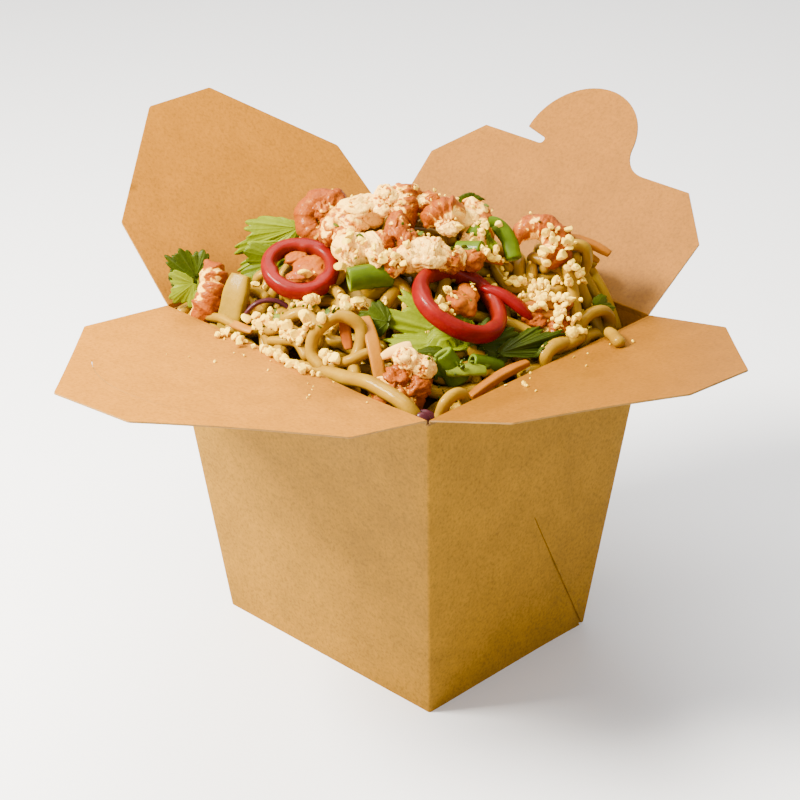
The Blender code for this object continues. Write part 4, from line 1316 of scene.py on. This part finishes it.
def two_tone_material(name, skin, flesh, roughness=0.45, coat=0.1):
    """Skin where the shade is 0 and flesh where it is 1, both with soft blotches."""
    material, tree, shader = new_material(name, roughness, Coat_Weight=coat, Coat_Roughness=0.1,
                                          Specular_IOR_Level=0.08)
    amount = node(tree, "ShaderNodeAttribute", attribute_name="shade").outputs["Fac"]
    blotches, specks = speckles(tree, 260.0, 900.0)
    mixed = blend_colours(tree, amount, skin, flesh)
    vary = ramp(tree, blotches, (0.3, (0.72,) * 3), (0.7, (1.12,) * 3))
    base = blend_colours(tree, 1.0, mixed, vary, "MULTIPLY")
    tree.links.new(base, shader.inputs["Base Color"])
    relief_normal(tree, shader, specks, 0.0002, 0.3)
    return material


class NOODLEBOX_OT_chillies(Operator):
    """Make the two chilli rings with their pulp, and the chilli strip"""
    bl_idname = "noodlebox.chillies"
    bl_label = "Chillies"

    def execute(self, context):
        red = tuple(context.scene.noodle_toppings.chilli)
        skin = two_tone_material("chilli", red, (0.15, 0.006, 0.0))
        inner = flesh_material("chilli_pulp", ((0.3, (0.25, 0.04, 0.0)), (0.7, (0.34, 0.09, 0.0))))
        left = turned(90.0, 22.0, -46.0)
        right = turned(26.9, 27.6, 20.0)
        middles = (on_heap(-16.5, -25.5, 5.0), on_heap(28.0, -8.5, 6.0))
        for name, middle, size, turn, seed in (
                ("chilli_ring_left", middles[0], 8.8, left, 3), ("chilli_ring_right", middles[1], 12.2, right, 5)):
            shape, flesh = chilli_ring(middle, size, turn, seed)
            settle(add_piece(name + "_slice", shape, [skin], flesh), "box", "chilli", name)
        lumps = [lump(middles[0] + left @ (2.6, 0.6, -0.5), (4.6, 4.6, 1.7), left, 1),
                 lump(middles[0] + left @ (-1.0, 4.2, -0.5), (4.0, 2.6, 1.5), left, 2),
                 lump(middles[0] + left @ (-0.6, -2.4, -1.0), (3.4, 2.4, 1.2), left, 5),
                 lump(middles[1] + right @ (0.4, -0.6, 0.0), (4.2, 4.6, 2.6), right, 3),
                 lump(middles[1] + right @ (2.6, 5.4, 0.2), (3.0, 4.2, 2.0), right, 4),
                 lump(middles[1] + right @ (-4.4, -7.4, -0.2), (3.2, 2.2, 1.6), right, 6)]
        pulp = joined([shape for shape, _ in lumps])
        settle(add_piece("chilli_pulp", pulp, [inner]), "box", "chilli")
        FOOD.cover(pulp[0], 0.3)
        turn = turned(0.0, 27.0, 26.0)
        path = on_heap(32.6, 5.6, 3.6) + rod(14.5, 1.2, 40) @ turn.T
        share = np.linspace(-1.0, 1.0, 40)[:, None]
        section = oval(24, 2.0, 1.6, 2.6) * (1.0 - 0.35 * share ** 4)
        shape = swept(path, section, "round", turn[:, 1][None])
        settle(add_piece("chilli_strip_cut", shape, [skin], np.zeros(len(shape[0]))), "box", "chilli",
               "chilli_strip")
        return {"FINISHED"}


class NOODLEBOX_OT_vegetables(Operator):
    """Make the spring onions, mango, carrot and red onion pieces"""
    bl_idname = "noodlebox.vegetables"
    bl_label = "Vegetables"

    def execute(self, context):
        green = two_tone_material("spring_onion", (0.070, 0.115, 0.0), (0.17, 0.22, 0.02))
        for name, row in STALKS.items():
            x, y, lift, length, bow, radius, spin, tilt, heading, flat = row
            turn = turned(spin, tilt, heading)
            path = on_heap(x, y, lift) + rod(length, bow, 24) @ turn.T
            shape, cut = tube(path, radius * oval(40, 1.0, flat), turn[:, 2][None])
            settle(add_piece(name + "_stalk", shape, [green], cut), "box", "spring_onion", name)
        path = through(CURVED_STALK, 36) + (0.0, 0.0, RIM)
        shape, cut = tube(path, 2.4 * oval(40, 0.8, 1.0), np.array([[0.62, -0.64, 0.45]]))
        settle(add_piece("spring_onion_curved_stalk", shape, [green], cut), "box", "spring_onion",
               "spring_onion_curved")
        finishes = {
            "mango": flesh_material("mango", ((0.3, (0.20, 0.118, 0.0)), (0.7, (0.29, 0.165, 0.0)))),
            "carrot": flesh_material("carrot", ((0.3, (0.22, 0.066, 0.0)), (0.7, (0.28, 0.088, 0.0)))),
            "carrot_pale": flesh_material("carrot_pale", ((0.3, (0.27, 0.092, 0.0)), (0.7, (0.33, 0.13, 0.0)))),
        }
        for name, (finish, *row) in STICKS.items():
            settle(add_piece(name + "_cut", stick(row), [finishes[finish]]), "box",
                   finish.split("_")[0], name)
        onion = two_tone_material("red_onion", (0.05, 0.008, 0.012), (0.18, 0.05, 0.05))
        turn = turned(110.0, 70.0, -46.0)
        path = on_heap(-19.0, -35.0, 2.5) + curl(7.5, 140.0, 50) @ turn.T
        section = oval(24, 0.7, 1.5, 2.6)
        angle = 2.0 * math.pi * np.arange(24) / 24
        shade = over_caps(np.tile(smooth_step(0.2, 0.9, -np.cos(angle)), (50, 1)), "flat")
        shape = swept(path, section, "flat", turn[:, 0][None])
        settle(add_piece("red_onion_arc_cut", shape, [onion], shade), "box", "red_onion", "red_onion_arc")
        return {"FINISHED"}


# Shreds and herbs -------------------------------------------------------------------
# Each row: finish, half width, half thickness, places (x, y, height over the rim).
SHREDS = (
    ("chilli_pulp", 1.5, 0.8, ((6.5, -31.0, 12.5), (9.0, -33.5, 9.5), (12.5, -35.5, 4.5))),
    ("onion_pale", 1.5, 0.9, ((24.5, -35.0, 6.0), (26.5, -31.5, 7.5), (28.5, -28.0, 8.5))),
    ("carrot", 1.2, 0.8, ((-33.0, -34.0, 9.0), (-30.0, -35.5, 7.5), (-26.5, -36.5, 5.5))),
    ("carrot_pale", 1.3, 0.8, ((-27.0, -42.4, 1.6), (-23.0, -42.6, 1.8), (-18.5, -42.3, 1.8))),
    ("carrot", 1.3, 0.7, ((34.0, 9.0, 9.5), (38.5, 13.5, 10.0), (43.0, 19.5, 6.5), (44.0, 23.5, 2.0))),
    ("carrot", 1.2, 0.7, ((37.5, 8.0, 7.5), (41.5, 13.0, 8.0), (45.5, 16.0, 5.0))),
    ("carrot_pale", 1.1, 0.7, ((32.0, 28.0, 19.5), (35.5, 32.0, 19.0), (38.5, 37.0, 15.5))),
    ("red_onion", 1.6, 0.6, ((43.0, -43.0, -4.5), (45.5, -42.0, -2.0), (47.5, -40.5, -4.0))),
    ("red_onion", 1.8, 0.6, ((41.0, -41.5, -4.5), (44.5, -40.0, -2.4), (47.5, -37.5, -4.5))),
    ("red_onion", 1.2, 0.5, ((38.5, -42.0, -3.5), (42.5, -43.2, -1.6), (47.0, -43.6, -3.4))),
    ("red_onion", 1.2, 0.5, ((30.5, -37.5, 0.0), (33.0, -38.5, 0.8), (36.0, -40.5, -1.6))),
    ("spring_onion_pale", 1.9, 0.8, ((38.0, -24.5, 2.6), (42.0, -20.0, 3.0), (44.5, -16.0, 2.2))),
    ("spring_onion_pale", 1.5, 0.7, ((-18.0, -38.5, 4.6), (-14.5, -37.5, 5.4), (-11.0, -36.0, 5.4))),
    ("spring_onion_pale", 1.4, 0.7, ((-12.5, -33.0, 8.4), (-9.0, -31.5, 9.6), (-5.5, -31.0, 10.0))),
    ("chilli_pulp", 1.4, 0.8, ((19.0, 6.5, 20.5), (22.0, 9.5, 20.0), (24.5, 12.5, 18.5))),
    ("chilli_pulp", 1.0, 0.7, ((-20.0, -39.0, 3.4), (-18.0, -38.4, 3.8), (-16.5, -38.0, 4.2))),
)

# Chopped herbs: x, y, spread, count.
HERBS = ((40.0, -18.5, 3.4, 26), (-14.0, -36.0, 4.0, 10), (0.0, -25.0, 9.0, 14), (34.0, -6.0, 7.0, 18),
         (30.0, 12.0, 8.0, 10), (40.0, -28.0, 4.0, 12), (10.0, -34.0, 6.0, 8))


def shred(wide, thick, places, seed):
    """A thin cut strip along a curve through its places, narrower at its ends."""
    path = through(places, 34) + (0.0, 0.0, RIM)
    share = np.linspace(-1.0, 1.0, 34)[:, None]
    section = oval(20, thick, wide, 2.6) * (1.0 - 0.35 * share ** 4)
    return swept(path, section * (1.0 + 0.10 * waves(path, 4.0, seed)[:, None]), "flat",
                 np.array([[0.45, -0.45, 0.8]]))


def herb_bits(seed):
    """Chopped herbs: bits squeezed flat."""
    draw = np.random.default_rng(seed)
    rows = [(x, y, spread, count, 0.5, 1.2) for x, y, spread, count in HERBS]
    centres, sizes = scattered(rows, seed)
    return bits(centres, sizes, draw.integers(1, 99), 1, 0.35)


class NOODLEBOX_OT_shreds(Operator):
    """Make the thin strips of vegetable and the chopped herbs"""
    bl_idname = "noodlebox.shreds"
    bl_label = "Shreds and Herbs"

    def execute(self, context):
        finishes = {
            "onion_pale": flesh_material("onion_pale", ((0.3, (0.70, 0.36, 0.05)), (0.7, (0.90, 0.52, 0.12)))),
            "spring_onion_pale": flesh_material("spring_onion_pale", ((0.3, (0.10, 0.13, 0.004)),
                                                                     (0.7, (0.17, 0.20, 0.01)))),
        }
        for finish in dict.fromkeys(row[0] for row in SHREDS):
            material = finishes.get(finish) or FINISHES[finish]
            shape = joined([shred(wide, thick, places, seed)
                            for seed, (label, wide, thick, places) in enumerate(SHREDS) if label == finish])
            piece = add_piece(finish + "_shreds", shape, [material], np.zeros(len(shape[0])))
            kind = finish.split("_pale")[0].split("_pulp")[0]
            settle(piece, "box", "red_onion" if kind == "onion" else kind)
            FOOD.cover(shape[0], 0.3)
        green = flesh_material("herb", ((0.3, (0.02, 0.035, 0.002)), (0.7, (0.08, 0.11, 0.004))))
        settle(add_piece("herbs", herb_bits(8), [green], smooth=False), "box", "spring_onion")
        return {"FINISHED"}


# Leaves -----------------------------------------------------------------------------
# Each row: stalk end and tip (x, y, height over the rim), width, how far it faces the front
# corner instead of upwards, droop, angle between its lobes, and how light it is, which
# picks one of three copies of the leaf colour, shaded, middling and lit: painted light and shade.
LEAVES = (
    ((-43.6, -37.4, 5.9), (-54.4, -42.6, 14.0), 12.0, 1.0, 0.05, 52.0, 0.1),
    ((-46.1, -38.2, 8.4), (-52.0, -39.6, 15.6), 13.0, 1.0, 0.05, 60.0, 0.2),
    ((-44.6, -40.5, 7.6), (-49.6, -45.2, 2.0), 13.0, 1.0, 0.03, 60.0, 0.75),
    ((-33.8, -9.8, 18.4), (-45.4, -25.0, 12.2), 17.0, 1.0, 0.08, 45.0, 0.9),
    ((-34.2, -11.4, 15.0), (-42.8, -25.8, 7.4), 13.0, 1.0, 0.05, 45.0, 0.8),
    ((-32.5, -16.5, 10.7), (-39.9, -28.2, 5.1), 18.0, 1.0, 0.05, 55.0, 0.45),
    ((10.3, 14.5, 28.6), (8.1, 15.1, 33.2), 9.0, 1.0, 0.05, 66.0, 0.1),
    ((18.9, 11.6, 25.0), (22.8, 12.0, 20.6), 4.0, 1.0, -0.1, 40.0, 0.8),
    ((37.4, -10.6, 6.1), (12.4, -26.6, 13.4), 27.0, 0.62, 0.03, 30.0, 0.9),
    ((16.8, -24.8, 10.3), (9.0, -30.0, 11.6), 11.0, 0.8, 0.1, 60.0, 0.1),
    ((38.2, -12.4, 6.0), (41.8, 0.6, 7.4), 14.0, 0.8, 0.05, 55.0, 0.1),
    ((42.6, -8.4, 4.0), (48.4, 12.7, 5.6), 12.0, 0.7, 0.05, 40.0, 0.2),
    ((27.4, -24.6, 4.6), (37.0, -25.4, 0.8), 12.0, 0.8, 0.1, 60.0, 0.15),
    ((44.4, 28.6, 6.5), (46.5, 36.5, 4.0), 7.0, 0.9, 0.1, 60.0, 0.4),
)
OVER_FLAP = -50.0                   # leaves whose tips pass this lie across the left flap's crease
LEAF_THICK = 0.28
TEETH = 10.0                        # teeth of a leaf, to two whole turns


def leaf(stalk, tip, width, facing, droop, spread, seed, rows=16, columns=150):
    """A lobed, toothed leaf as a closed sheet, and how near each point is to a vein.

    In polar form about the stalk's end: the rim's distance is the largest of three soft
    lobes, scalloped into teeth; height over the flat leaf sags with the square of the
    distance and ripples near the rim.
    """
    stalk, tip = np.asarray(stalk, float), np.asarray(tip, float)
    length = np.linalg.norm(tip - stalk)
    ahead = (tip - stalk) / length
    upward = np.array([0.62, -0.64, 0.45]) * facing + np.array([0.0, 0.0, 1.0]) * (1.0 - facing)
    across = unit(np.cross(upward, ahead))
    up = np.cross(ahead, across)
    angle = np.linspace(-118.0, 118.0, columns)
    middles = np.array([-spread, 0.0, spread])
    near = (angle[:, None] - middles) / (np.array([0.58, 0.52, 0.58]) * spread)
    lobes = (np.array([0.90, 1.0, 0.86]) * np.exp(-near ** 2)).max(1)
    turns = np.radians(angle * TEETH * 66.0 / spread + seed * 40.0)
    teeth = np.abs(np.cos(turns)) ** 0.8
    sides = np.exp(-(np.clip(np.abs(angle) - spread, 0.0, None) / 30.0) ** 2)
    rim = (0.55 + 0.45 * lobes) * (0.88 + 0.12 * teeth) * (0.25 + 0.75 * sides)
    share = np.linspace(0.0, 1.0, rows)[1:]
    reach = share[:, None] * rim[None]
    x = reach * np.cos(np.radians(angle))
    y = reach * np.sin(np.radians(angle)) * (width / length) * 0.62
    ripple = 0.045 * share[:, None] ** 2 * np.sin(np.radians(angle * 5.0 + seed * 70.0))
    fold = (0.035 * np.abs(np.sin(math.pi * angle / spread)) + 0.012 * np.abs(np.sin(turns))) * reach
    z = -droop * reach ** 2 - fold + ripple
    sheet = stalk + length * (x[..., None] * ahead + y[..., None] * across + z[..., None] * up)
    flat = sheet.reshape(-1, 3)
    floor = FOOD.rest(flat, 0.5) - RIM
    boxed = (np.abs(flat[:, 0]) < WALL_X) & (np.abs(flat[:, 1]) < WALL_Y)
    flat[:, 2] += np.where(boxed, np.clip(floor - flat[:, 2], 0.0, 2.5), 0.0)
    sheet = flat.reshape(sheet.shape)
    down = np.gradient(sheet, axis=0)
    along = np.gradient(sheet, axis=1)
    normal = unit(np.cross(down, along))
    half = LEAF_THICK / 2.0 * (1.0 - share[:, None, None] ** 6 * 0.7)
    layers = np.concatenate([(sheet + normal * half)[::1], (sheet - normal * half)[::-1]])
    total = len(layers)
    faces = grid_faces(total, columns)
    count = total * columns
    # The two layers also close along their first and last rays, and at the stalk.
    first = np.arange(total - 1) * columns
    points = np.concatenate([layers.reshape(-1, 3), stalk[None]])
    half_rows = total // 2
    closing = []
    for column in (0, columns - 1):
        top = np.arange(half_rows) * columns + column
        low = np.arange(total - 1, half_rows - 1, -1) * columns + column
        quads = np.stack([top[:-1], top[1:], low[1:], low[:-1]], 1)
        closing += (quads if column == 0 else quads[:, ::-1]).tolist()
    inner = np.arange(columns - 1)
    closing += np.stack([inner, inner + 1, np.full(columns - 1, count)], 1)[:, ::-1].tolist()
    last = (total - 1) * columns
    closing += np.stack([last + inner, last + inner + 1, np.full(columns - 1, count)], 1).tolist()
    closing += [[0, count, last][::-1], [columns - 1, last + columns - 1, count][::-1]]
    veins = np.exp(-((angle[:, None] - middles) / 3.0) ** 2).max(1)[None] * np.ones((rows - 1, 1))
    twigs = np.exp(-(np.sin(turns) / 0.25) ** 2)[None] * share[:, None] ** 2
    vein = np.maximum(veins * (1.0 - 0.6 * share[:, None]), 0.5 * twigs)
    uv = np.stack([points[:, 0], points[:, 1]], 1) / 100.0
    shade = np.concatenate([vein.ravel(), vein[::-1].ravel(), [1.0]])
    return (points + (0.0, 0.0, RIM), faces.tolist() + closing, uv), shade


def leaf_material(name, dark, light, share):
    """A thin leaf: between dark and light green, and paler on its veins."""
    # The share places this copy between the shaded and the lit leaf colour: painted light and shade.
    colour = tuple(d + (l - d) * share for d, l in zip(dark, light))
    material, tree, shader = new_material(name, 0.5, Coat_Weight=0.05, Coat_Roughness=0.2,
                                          Specular_IOR_Level=0.1,
                                          Specular_Tint=(0.7, 0.9, 0.2, 1.0))
    vein = node(tree, "ShaderNodeAttribute", attribute_name="shade").outputs["Fac"]
    blotches, specks = speckles(tree, 160.0, 1200.0)
    base = ramp(tree, blotches, (0.3, tuple(c * 0.62 for c in colour)), (0.7, colour))
    pale = tuple(min(1.0, c * 1.25 + 0.01) for c in colour)
    faint = node(tree, "ShaderNodeMath", operation="MULTIPLY", in_0=vein, in_1=0.55)
    tree.links.new(blend_colours(tree, faint.outputs[0], base, pale), shader.inputs["Base Color"])
    height = node(tree, "ShaderNodeMath", operation="SUBTRACT", in_0=specks, in_1=vein)
    relief_normal(tree, shader, height.outputs[0], 0.0003, 0.5)
    return material


class NOODLEBOX_OT_leaves(Operator):
    """Make the coriander leaves"""
    bl_idname = "noodlebox.leaves"
    bl_label = "Leaves"

    def execute(self, context):
        settings = context.scene.noodle_toppings
        dark, light = tuple(settings.leaf_dark), tuple(settings.leaf_light)
        # Three copies of the leaf colour, from shaded to lit: painted light and shade.
        for name, low, high, share in (("leaves_dark", 0.0, 0.3, 0.08), ("leaves_green", 0.3, 0.7, 0.45),
                                       ("leaves_light", 0.7, 1.0, 0.85)):
            material = leaf_material(name, dark, light, share)
            made = {"": [], "_over_flap": []}
            for seed, row in enumerate(LEAVES):
                if low <= row[6] < high:
                    made["_over_flap" if row[1][0] < OVER_FLAP else ""].append(leaf(*row[:6], seed))
            for place, leaves in made.items():
                if leaves:
                    shades = np.concatenate([shade for _, shade in leaves])
                    piece = add_piece(name + place, joined([shape for shape, _ in leaves]), [material],
                                      shades)
                    if place:
                        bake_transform(piece)
                    else:
                        settle(piece, "box", "spring_onion")
        return {"FINISHED"}


# Nuts and crumbs --------------------------------------------------------------------
# Each row: x, y, spread, count, smallest and largest radius.
NUTS = (
    (-4.5, -29.5, 2.8, 44, 0.5, 1.4), (3.0, -26.5, 3.4, 70, 0.5, 1.6), (10.5, -20.5, 2.5, 36, 0.5, 1.4),
    (-9.0, -32.5, 1.8, 14, 0.5, 1.2), (16.2, -17.6, 2.4, 22, 0.5, 1.5), (23.0, -15.5, 2.6, 26, 0.5, 1.5),
    (29.0, -15.5, 2.4, 18, 0.5, 1.5), (22.0, 9.0, 3.0, 30, 0.5, 1.3), (28.5, 13.0, 3.4, 60, 0.5, 1.4),
    (34.0, 20.0, 3.4, 60, 0.5, 1.4), (40.5, 25.0, 2.4, 34, 0.5, 1.4), (36.0, 13.0, 3.0, 30, 0.5, 1.4),
    (43.0, 14.5, 3.0, 36, 0.5, 1.5), (46.5, 16.0, 1.6, 14, 0.5, 1.3), (10.0, -41.0, 1.8, 9, 0.8, 1.9),
    (-16.0, -41.0, 3.2, 26, 0.8, 1.8), (-7.0, -42.0, 3.0, 22, 0.8, 1.8), (1.5, -42.4, 2.4, 12, 0.8, 1.9),
    (-13.0, -27.5, 0.8, 2, 1.4, 1.8), (-31.0, -32.0, 2.6, 4, 0.8, 1.2), (20.0, -27.0, 2.0, 4, 0.8, 1.4),
    (0.0, 0.0, 14.0, 60, 0.3, 0.7), (24.0, -4.0, 14.0, 60, 0.3, 0.7),
)


NUT_EDGE = 41.4                     # no nearer the front wall than this, clear of its flap


def ball(rounds):
    """A unit ball of triangles: an icosahedron split a number of times."""
    golden = (1.0 + math.sqrt(5.0)) / 2.0
    points = [(-1, golden, 0), (1, golden, 0), (-1, -golden, 0), (1, -golden, 0),
              (0, -1, golden), (0, 1, golden), (0, -1, -golden), (0, 1, -golden),
              (golden, 0, -1), (golden, 0, 1), (-golden, 0, -1), (-golden, 0, 1)]
    points = [tuple(p) for p in unit(np.array(points, float))]
    faces = [(0, 11, 5), (0, 5, 1), (0, 1, 7), (0, 7, 10), (0, 10, 11), (1, 5, 9), (5, 11, 4),
             (11, 10, 2), (10, 7, 6), (7, 1, 8), (3, 9, 4), (3, 4, 2), (3, 2, 6), (3, 6, 8),
             (3, 8, 9), (4, 9, 5), (2, 4, 11), (6, 2, 10), (8, 6, 7), (9, 8, 1)]
    for _ in range(rounds):
        middles, split = {}, []

        def middle(a, b):
            key = (min(a, b), max(a, b))
            if key not in middles:
                middles[key] = len(points)
                points.append(tuple(unit(np.array(points[a]) + np.array(points[b]))))
            return middles[key]
        for a, b, c in faces:
            ab, bc, ca = middle(a, b), middle(b, c), middle(c, a)
            split += [(a, ab, ca), (b, bc, ab), (c, ca, bc), (ab, bc, ca)]
        faces = split
    return np.array(points), np.array(faces)


def bits(centres, sizes, seed, rounds=1, flat=1.0):
    """Chopped bits: balls stretched, cut flat along random planes and turned at random."""
    draw = np.random.default_rng(seed)
    points, faces = ball(rounds)
    count = len(centres)
    shape = points[None] * draw.uniform(0.5, 1.5, (count, 1, 3))
    for _ in range(5):
        plane = unit(draw.normal(size=(count, 1, 3)))
        over = np.clip((shape * plane).sum(-1, keepdims=True) - draw.uniform(0.45, 0.8, (count, 1, 1)), 0.0, None)
        shape = shape - plane * over
    shape = shape * (1.0, 1.0, flat)
    first = unit(draw.normal(size=(count, 3)))
    second = unit(np.cross(first, draw.normal(size=(count, 3))))
    frame = np.stack([first, second, np.cross(first, second)], 1)
    shape = np.einsum("nij,njk->nik", shape, frame) * sizes[:, None, None] + centres[:, None]
    step = np.arange(count)[:, None, None] * len(points)
    shape = shape.reshape(-1, 3)
    return shape, (faces[None] + step).reshape(-1, 3).tolist(), shape[:, :2] / 100.0


def scattered(rows, seed):
    """Places and sizes of bits dropped in clusters on the food, one after another."""
    draw = np.random.default_rng(seed)
    centres, sizes = [], []
    for x, y, spread, count, least, most in rows:
        for _ in range(count):
            place = np.array([x, y]) + draw.normal(0.0, spread, 2)
            size = least + (most - least) * draw.uniform() ** 1.5
            place = np.clip(place, (-WALL_X + size, -NUT_EDGE), (WALL_X - size, WALL_Y - size))
            height = FOOD.rest(place[None], size * 0.6)[0] - 0.15 * size
            centre = np.array([*place, height])
            FOOD.cover(centre[None] - (0.0, 0.0, size * 0.3), size * 0.6)
            centres.append(centre)
            sizes.append(size)
    return np.array(centres), np.array(sizes)


class NOODLEBOX_OT_nuts(Operator):
    """Sprinkle the chopped nuts and crumbs"""
    bl_idname = "noodlebox.nuts"
    bl_label = "Nuts"

    def execute(self, context):
        nut = tuple(context.scene.noodle_toppings.nut)
        material = flesh_material("nut", ((0.3, tuple(c * k for c, k in zip(nut, (0.8, 0.66, 0.3)))),
                                          (0.7, nut)), 0.6, 900.0, 0.05)
        centres, sizes = scattered(NUTS, 5)
        settle(add_piece("nuts", bits(centres, sizes, 6), [material], smooth=False), "box", "noodle")
        return {"FINISHED"}


# Spilt on the flaps -----------------------------------------------------------------
# Bits on a flap: flap, along, over, spread, count, smallest and largest radius.
SPILT = (
    ("flap_slot", -23.0, 3.2, 1.6, 5, 0.7, 1.5), ("flap_slot", -15.5, 2.4, 1.8, 8, 0.7, 1.7),
    ("flap_slot", -7.0, 2.2, 2.0, 9, 0.7, 1.8), ("flap_slot", 0.5, 2.6, 1.6, 9, 0.8, 1.9),
    ("flap_slot", 6.5, 3.2, 1.6, 6, 0.6, 1.6), ("flap_slot", 12.0, 3.0, 1.2, 3, 0.5, 1.2),
    ("flap_slot", -10.0, 9.0, 8.0, 8, 0.2, 0.4), ("flap_slot", 20.0, 8.0, 9.0, 8, 0.2, 0.4),
    ("flap_dust_right", -15.8, 7.6, 0.8, 4, 0.4, 0.9), ("flap_dust_right", 22.3, 12.3, 0.4, 1, 0.5, 0.6),
    ("flap_dust_right", 0.0, 8.0, 9.0, 8, 0.2, 0.4), ("flap_tab", -14.0, 12.0, 7.0, 6, 0.2, 0.4),
)


class NOODLEBOX_OT_spills(Operator):
    """Make the noodle end, nuts and crumbs that lie on the flaps"""
    bl_idname = "noodlebox.spills"
    bl_label = "Spills"

    def execute(self, context):
        draw = np.random.default_rng(17)
        nut = FINISHES["nut"]
        for flap in dict.fromkeys(row[0] for row in SPILT):
            centres, sizes = [], []
            for name, a, b, spread, count, least, most in SPILT:
                if name != flap:
                    continue
                size = draw.uniform(least, most, count)
                along = a + draw.normal(0.0, spread, count)
                over = np.clip(b + draw.normal(0.0, spread * 0.8, count), 1.0 + size, None)
                centres.append(on_flap(flap, along, over, size * 0.75))
                sizes.append(size)
            shape = bits(np.concatenate(centres), np.concatenate(sizes), 23)
            settle(add_piece("crumbs_" + flap, shape, [nut], smooth=False), FLAPS[flap][0], "noodle")
        radius = context.scene.noodle_food.radius
        ends = np.array([(24.6, 2.6), (23.0, 5.2), (20.8, 8.0), (18.6, 10.8)])
        path = through(on_flap("flap_dust_right", ends[:, 0], ends[:, 1], radius * 0.95), 40)
        piece = add_piece("noodle_on_flap", noodle_bars(path[None], radius * 1.05, 9),
                          [FINISHES["noodle"]])
        settle(piece, "dust_flap_right", "noodle")
        return {"FINISHED"}


# Stage ------------------------------------------------------------------------------
CAMERA_AT = (413.42, -427.62, 373.94)
CAMERA_TURN = 134.23                # heading of the view, anticlockwise from +X, in degrees
CAMERA_DIP = 26.93                  # degrees below the horizon


def add_camera(lens):
    """A level camera at its place, looking along its heading and dip."""
    camera = bpy.data.objects.new("camera", bpy.data.cameras.new("camera"))
    bpy.context.scene.collection.objects.link(camera)
    camera.data.lens = lens
    camera.data.sensor_width = 36.0
    camera.data.clip_start = 0.01
    heading, dip = math.radians(CAMERA_TURN), math.radians(CAMERA_DIP)
    view = Vector((math.cos(dip) * math.cos(heading), math.cos(dip) * math.sin(heading),
                   -math.sin(dip)))
    camera.location = Vector(CAMERA_AT) * MM
    camera.rotation_euler = view.to_track_quat("-Z", "Y").to_euler()
    bpy.context.scene.camera = camera


def add_area(name, place, target, size, power, colour):
    """A square area light at a place in metres, aimed at a target."""
    light = bpy.data.lights.new(name, "AREA")
    light.energy = power
    light.size = size
    light.color = colour
    item = bpy.data.objects.new(name, light)
    bpy.context.scene.collection.objects.link(item)
    item.location = place
    item.rotation_euler = (Vector(target) - Vector(place)).to_track_quat("-Z", "Y").to_euler()


class NOODLEBOX_OT_stage(Operator):
    """Add the camera, the pale floor and the soft lights"""
    bl_idname = "noodlebox.stage"
    bl_label = "Stage"

    def execute(self, context):
        settings = context.scene.noodle_stage
        add_camera(settings.lens)
        reach = 3000.0
        corners = np.array([(-reach, -reach, 0.0), (reach, -reach, 0.0), (reach, reach, 0.0),
                            (-reach, reach, 0.0)])
        material, _, shader = new_material("floor", 0.8)
        shader.inputs["Base Color"].default_value = (*settings.floor, 1.0)
        floor = add_piece("floor", (corners, [[0, 1, 2, 3]], corners[:, :2]), [material])
        target = (0.0, 0.0, 0.08)
        add_area("key", (-0.25, -0.40, 0.54), target, 0.22, settings.power, (1.0, 0.93, 0.80))
        add_area("top", (-0.15, 0.1, 0.75), target, 0.5, settings.power * 0.3, (1.0, 0.95, 0.86))
        add_area("fill", (0.9, -0.5, 0.5), target, 0.9, settings.power * 0.1, (1.0, 0.97, 0.93))
        world = bpy.data.worlds.new("studio")
        world.use_nodes = True
        world.node_tree.nodes["Background"].inputs[0].default_value = (1.0, 1.0, 1.0, 1.0)
        world.node_tree.nodes["Background"].inputs[1].default_value = 0.8
        context.scene.world = world
        return {"FINISHED"}


class NOODLEBOX_PT_panel(Panel):
    """The pieces' operators and settings, in the 3D view's sidebar"""
    bl_idname = "NOODLEBOX_PT_panel"
    bl_label = "Noodle Box"
    bl_space_type = "VIEW_3D"
    bl_region_type = "UI"
    bl_category = "Noodle Box"

    def draw(self, context):
        for kind in OPERATORS:
            self.layout.operator(kind.bl_idname)
        for label in SETTINGS:
            box = self.layout.box()
            group = getattr(context.scene, label)
            for field in SETTINGS[label].__annotations__:
                box.prop(group, field)


OPERATORS = (NOODLEBOX_OT_board, NOODLEBOX_OT_noodles, NOODLEBOX_OT_prawns, NOODLEBOX_OT_chillies, NOODLEBOX_OT_vegetables, NOODLEBOX_OT_shreds, NOODLEBOX_OT_leaves, NOODLEBOX_OT_nuts, NOODLEBOX_OT_spills, NOODLEBOX_OT_stage)
SETTINGS = {"noodle_box": BoxSettings, "noodle_food": NoodleSettings,
            "noodle_toppings": ToppingSettings, "noodle_stage": StageSettings}
CLASSES = (*SETTINGS.values(), *OPERATORS, NOODLEBOX_PT_panel)


def register():
    """Register the classes and put the settings on the scene."""
    for kind in CLASSES:
        bpy.utils.register_class(kind)
    for label, group in SETTINGS.items():
        setattr(bpy.types.Scene, label, PointerProperty(type=group))


def unregister():
    """Take the settings and classes away again."""
    for label in SETTINGS:
        delattr(bpy.types.Scene, label)
    for kind in reversed(CLASSES):
        bpy.utils.unregister_class(kind)


def main():
    """Build everything."""
    for item in list(bpy.data.objects):
        if item.type in ("LIGHT", "CAMERA") or item.name == "Cube":
            bpy.data.objects.remove(item, do_unlink=True)
    register()
    for kind in OPERATORS:
        group, _, name = kind.bl_idname.partition(".")
        getattr(getattr(bpy.ops, group), name)()


if __name__ == "__main__":
    main()
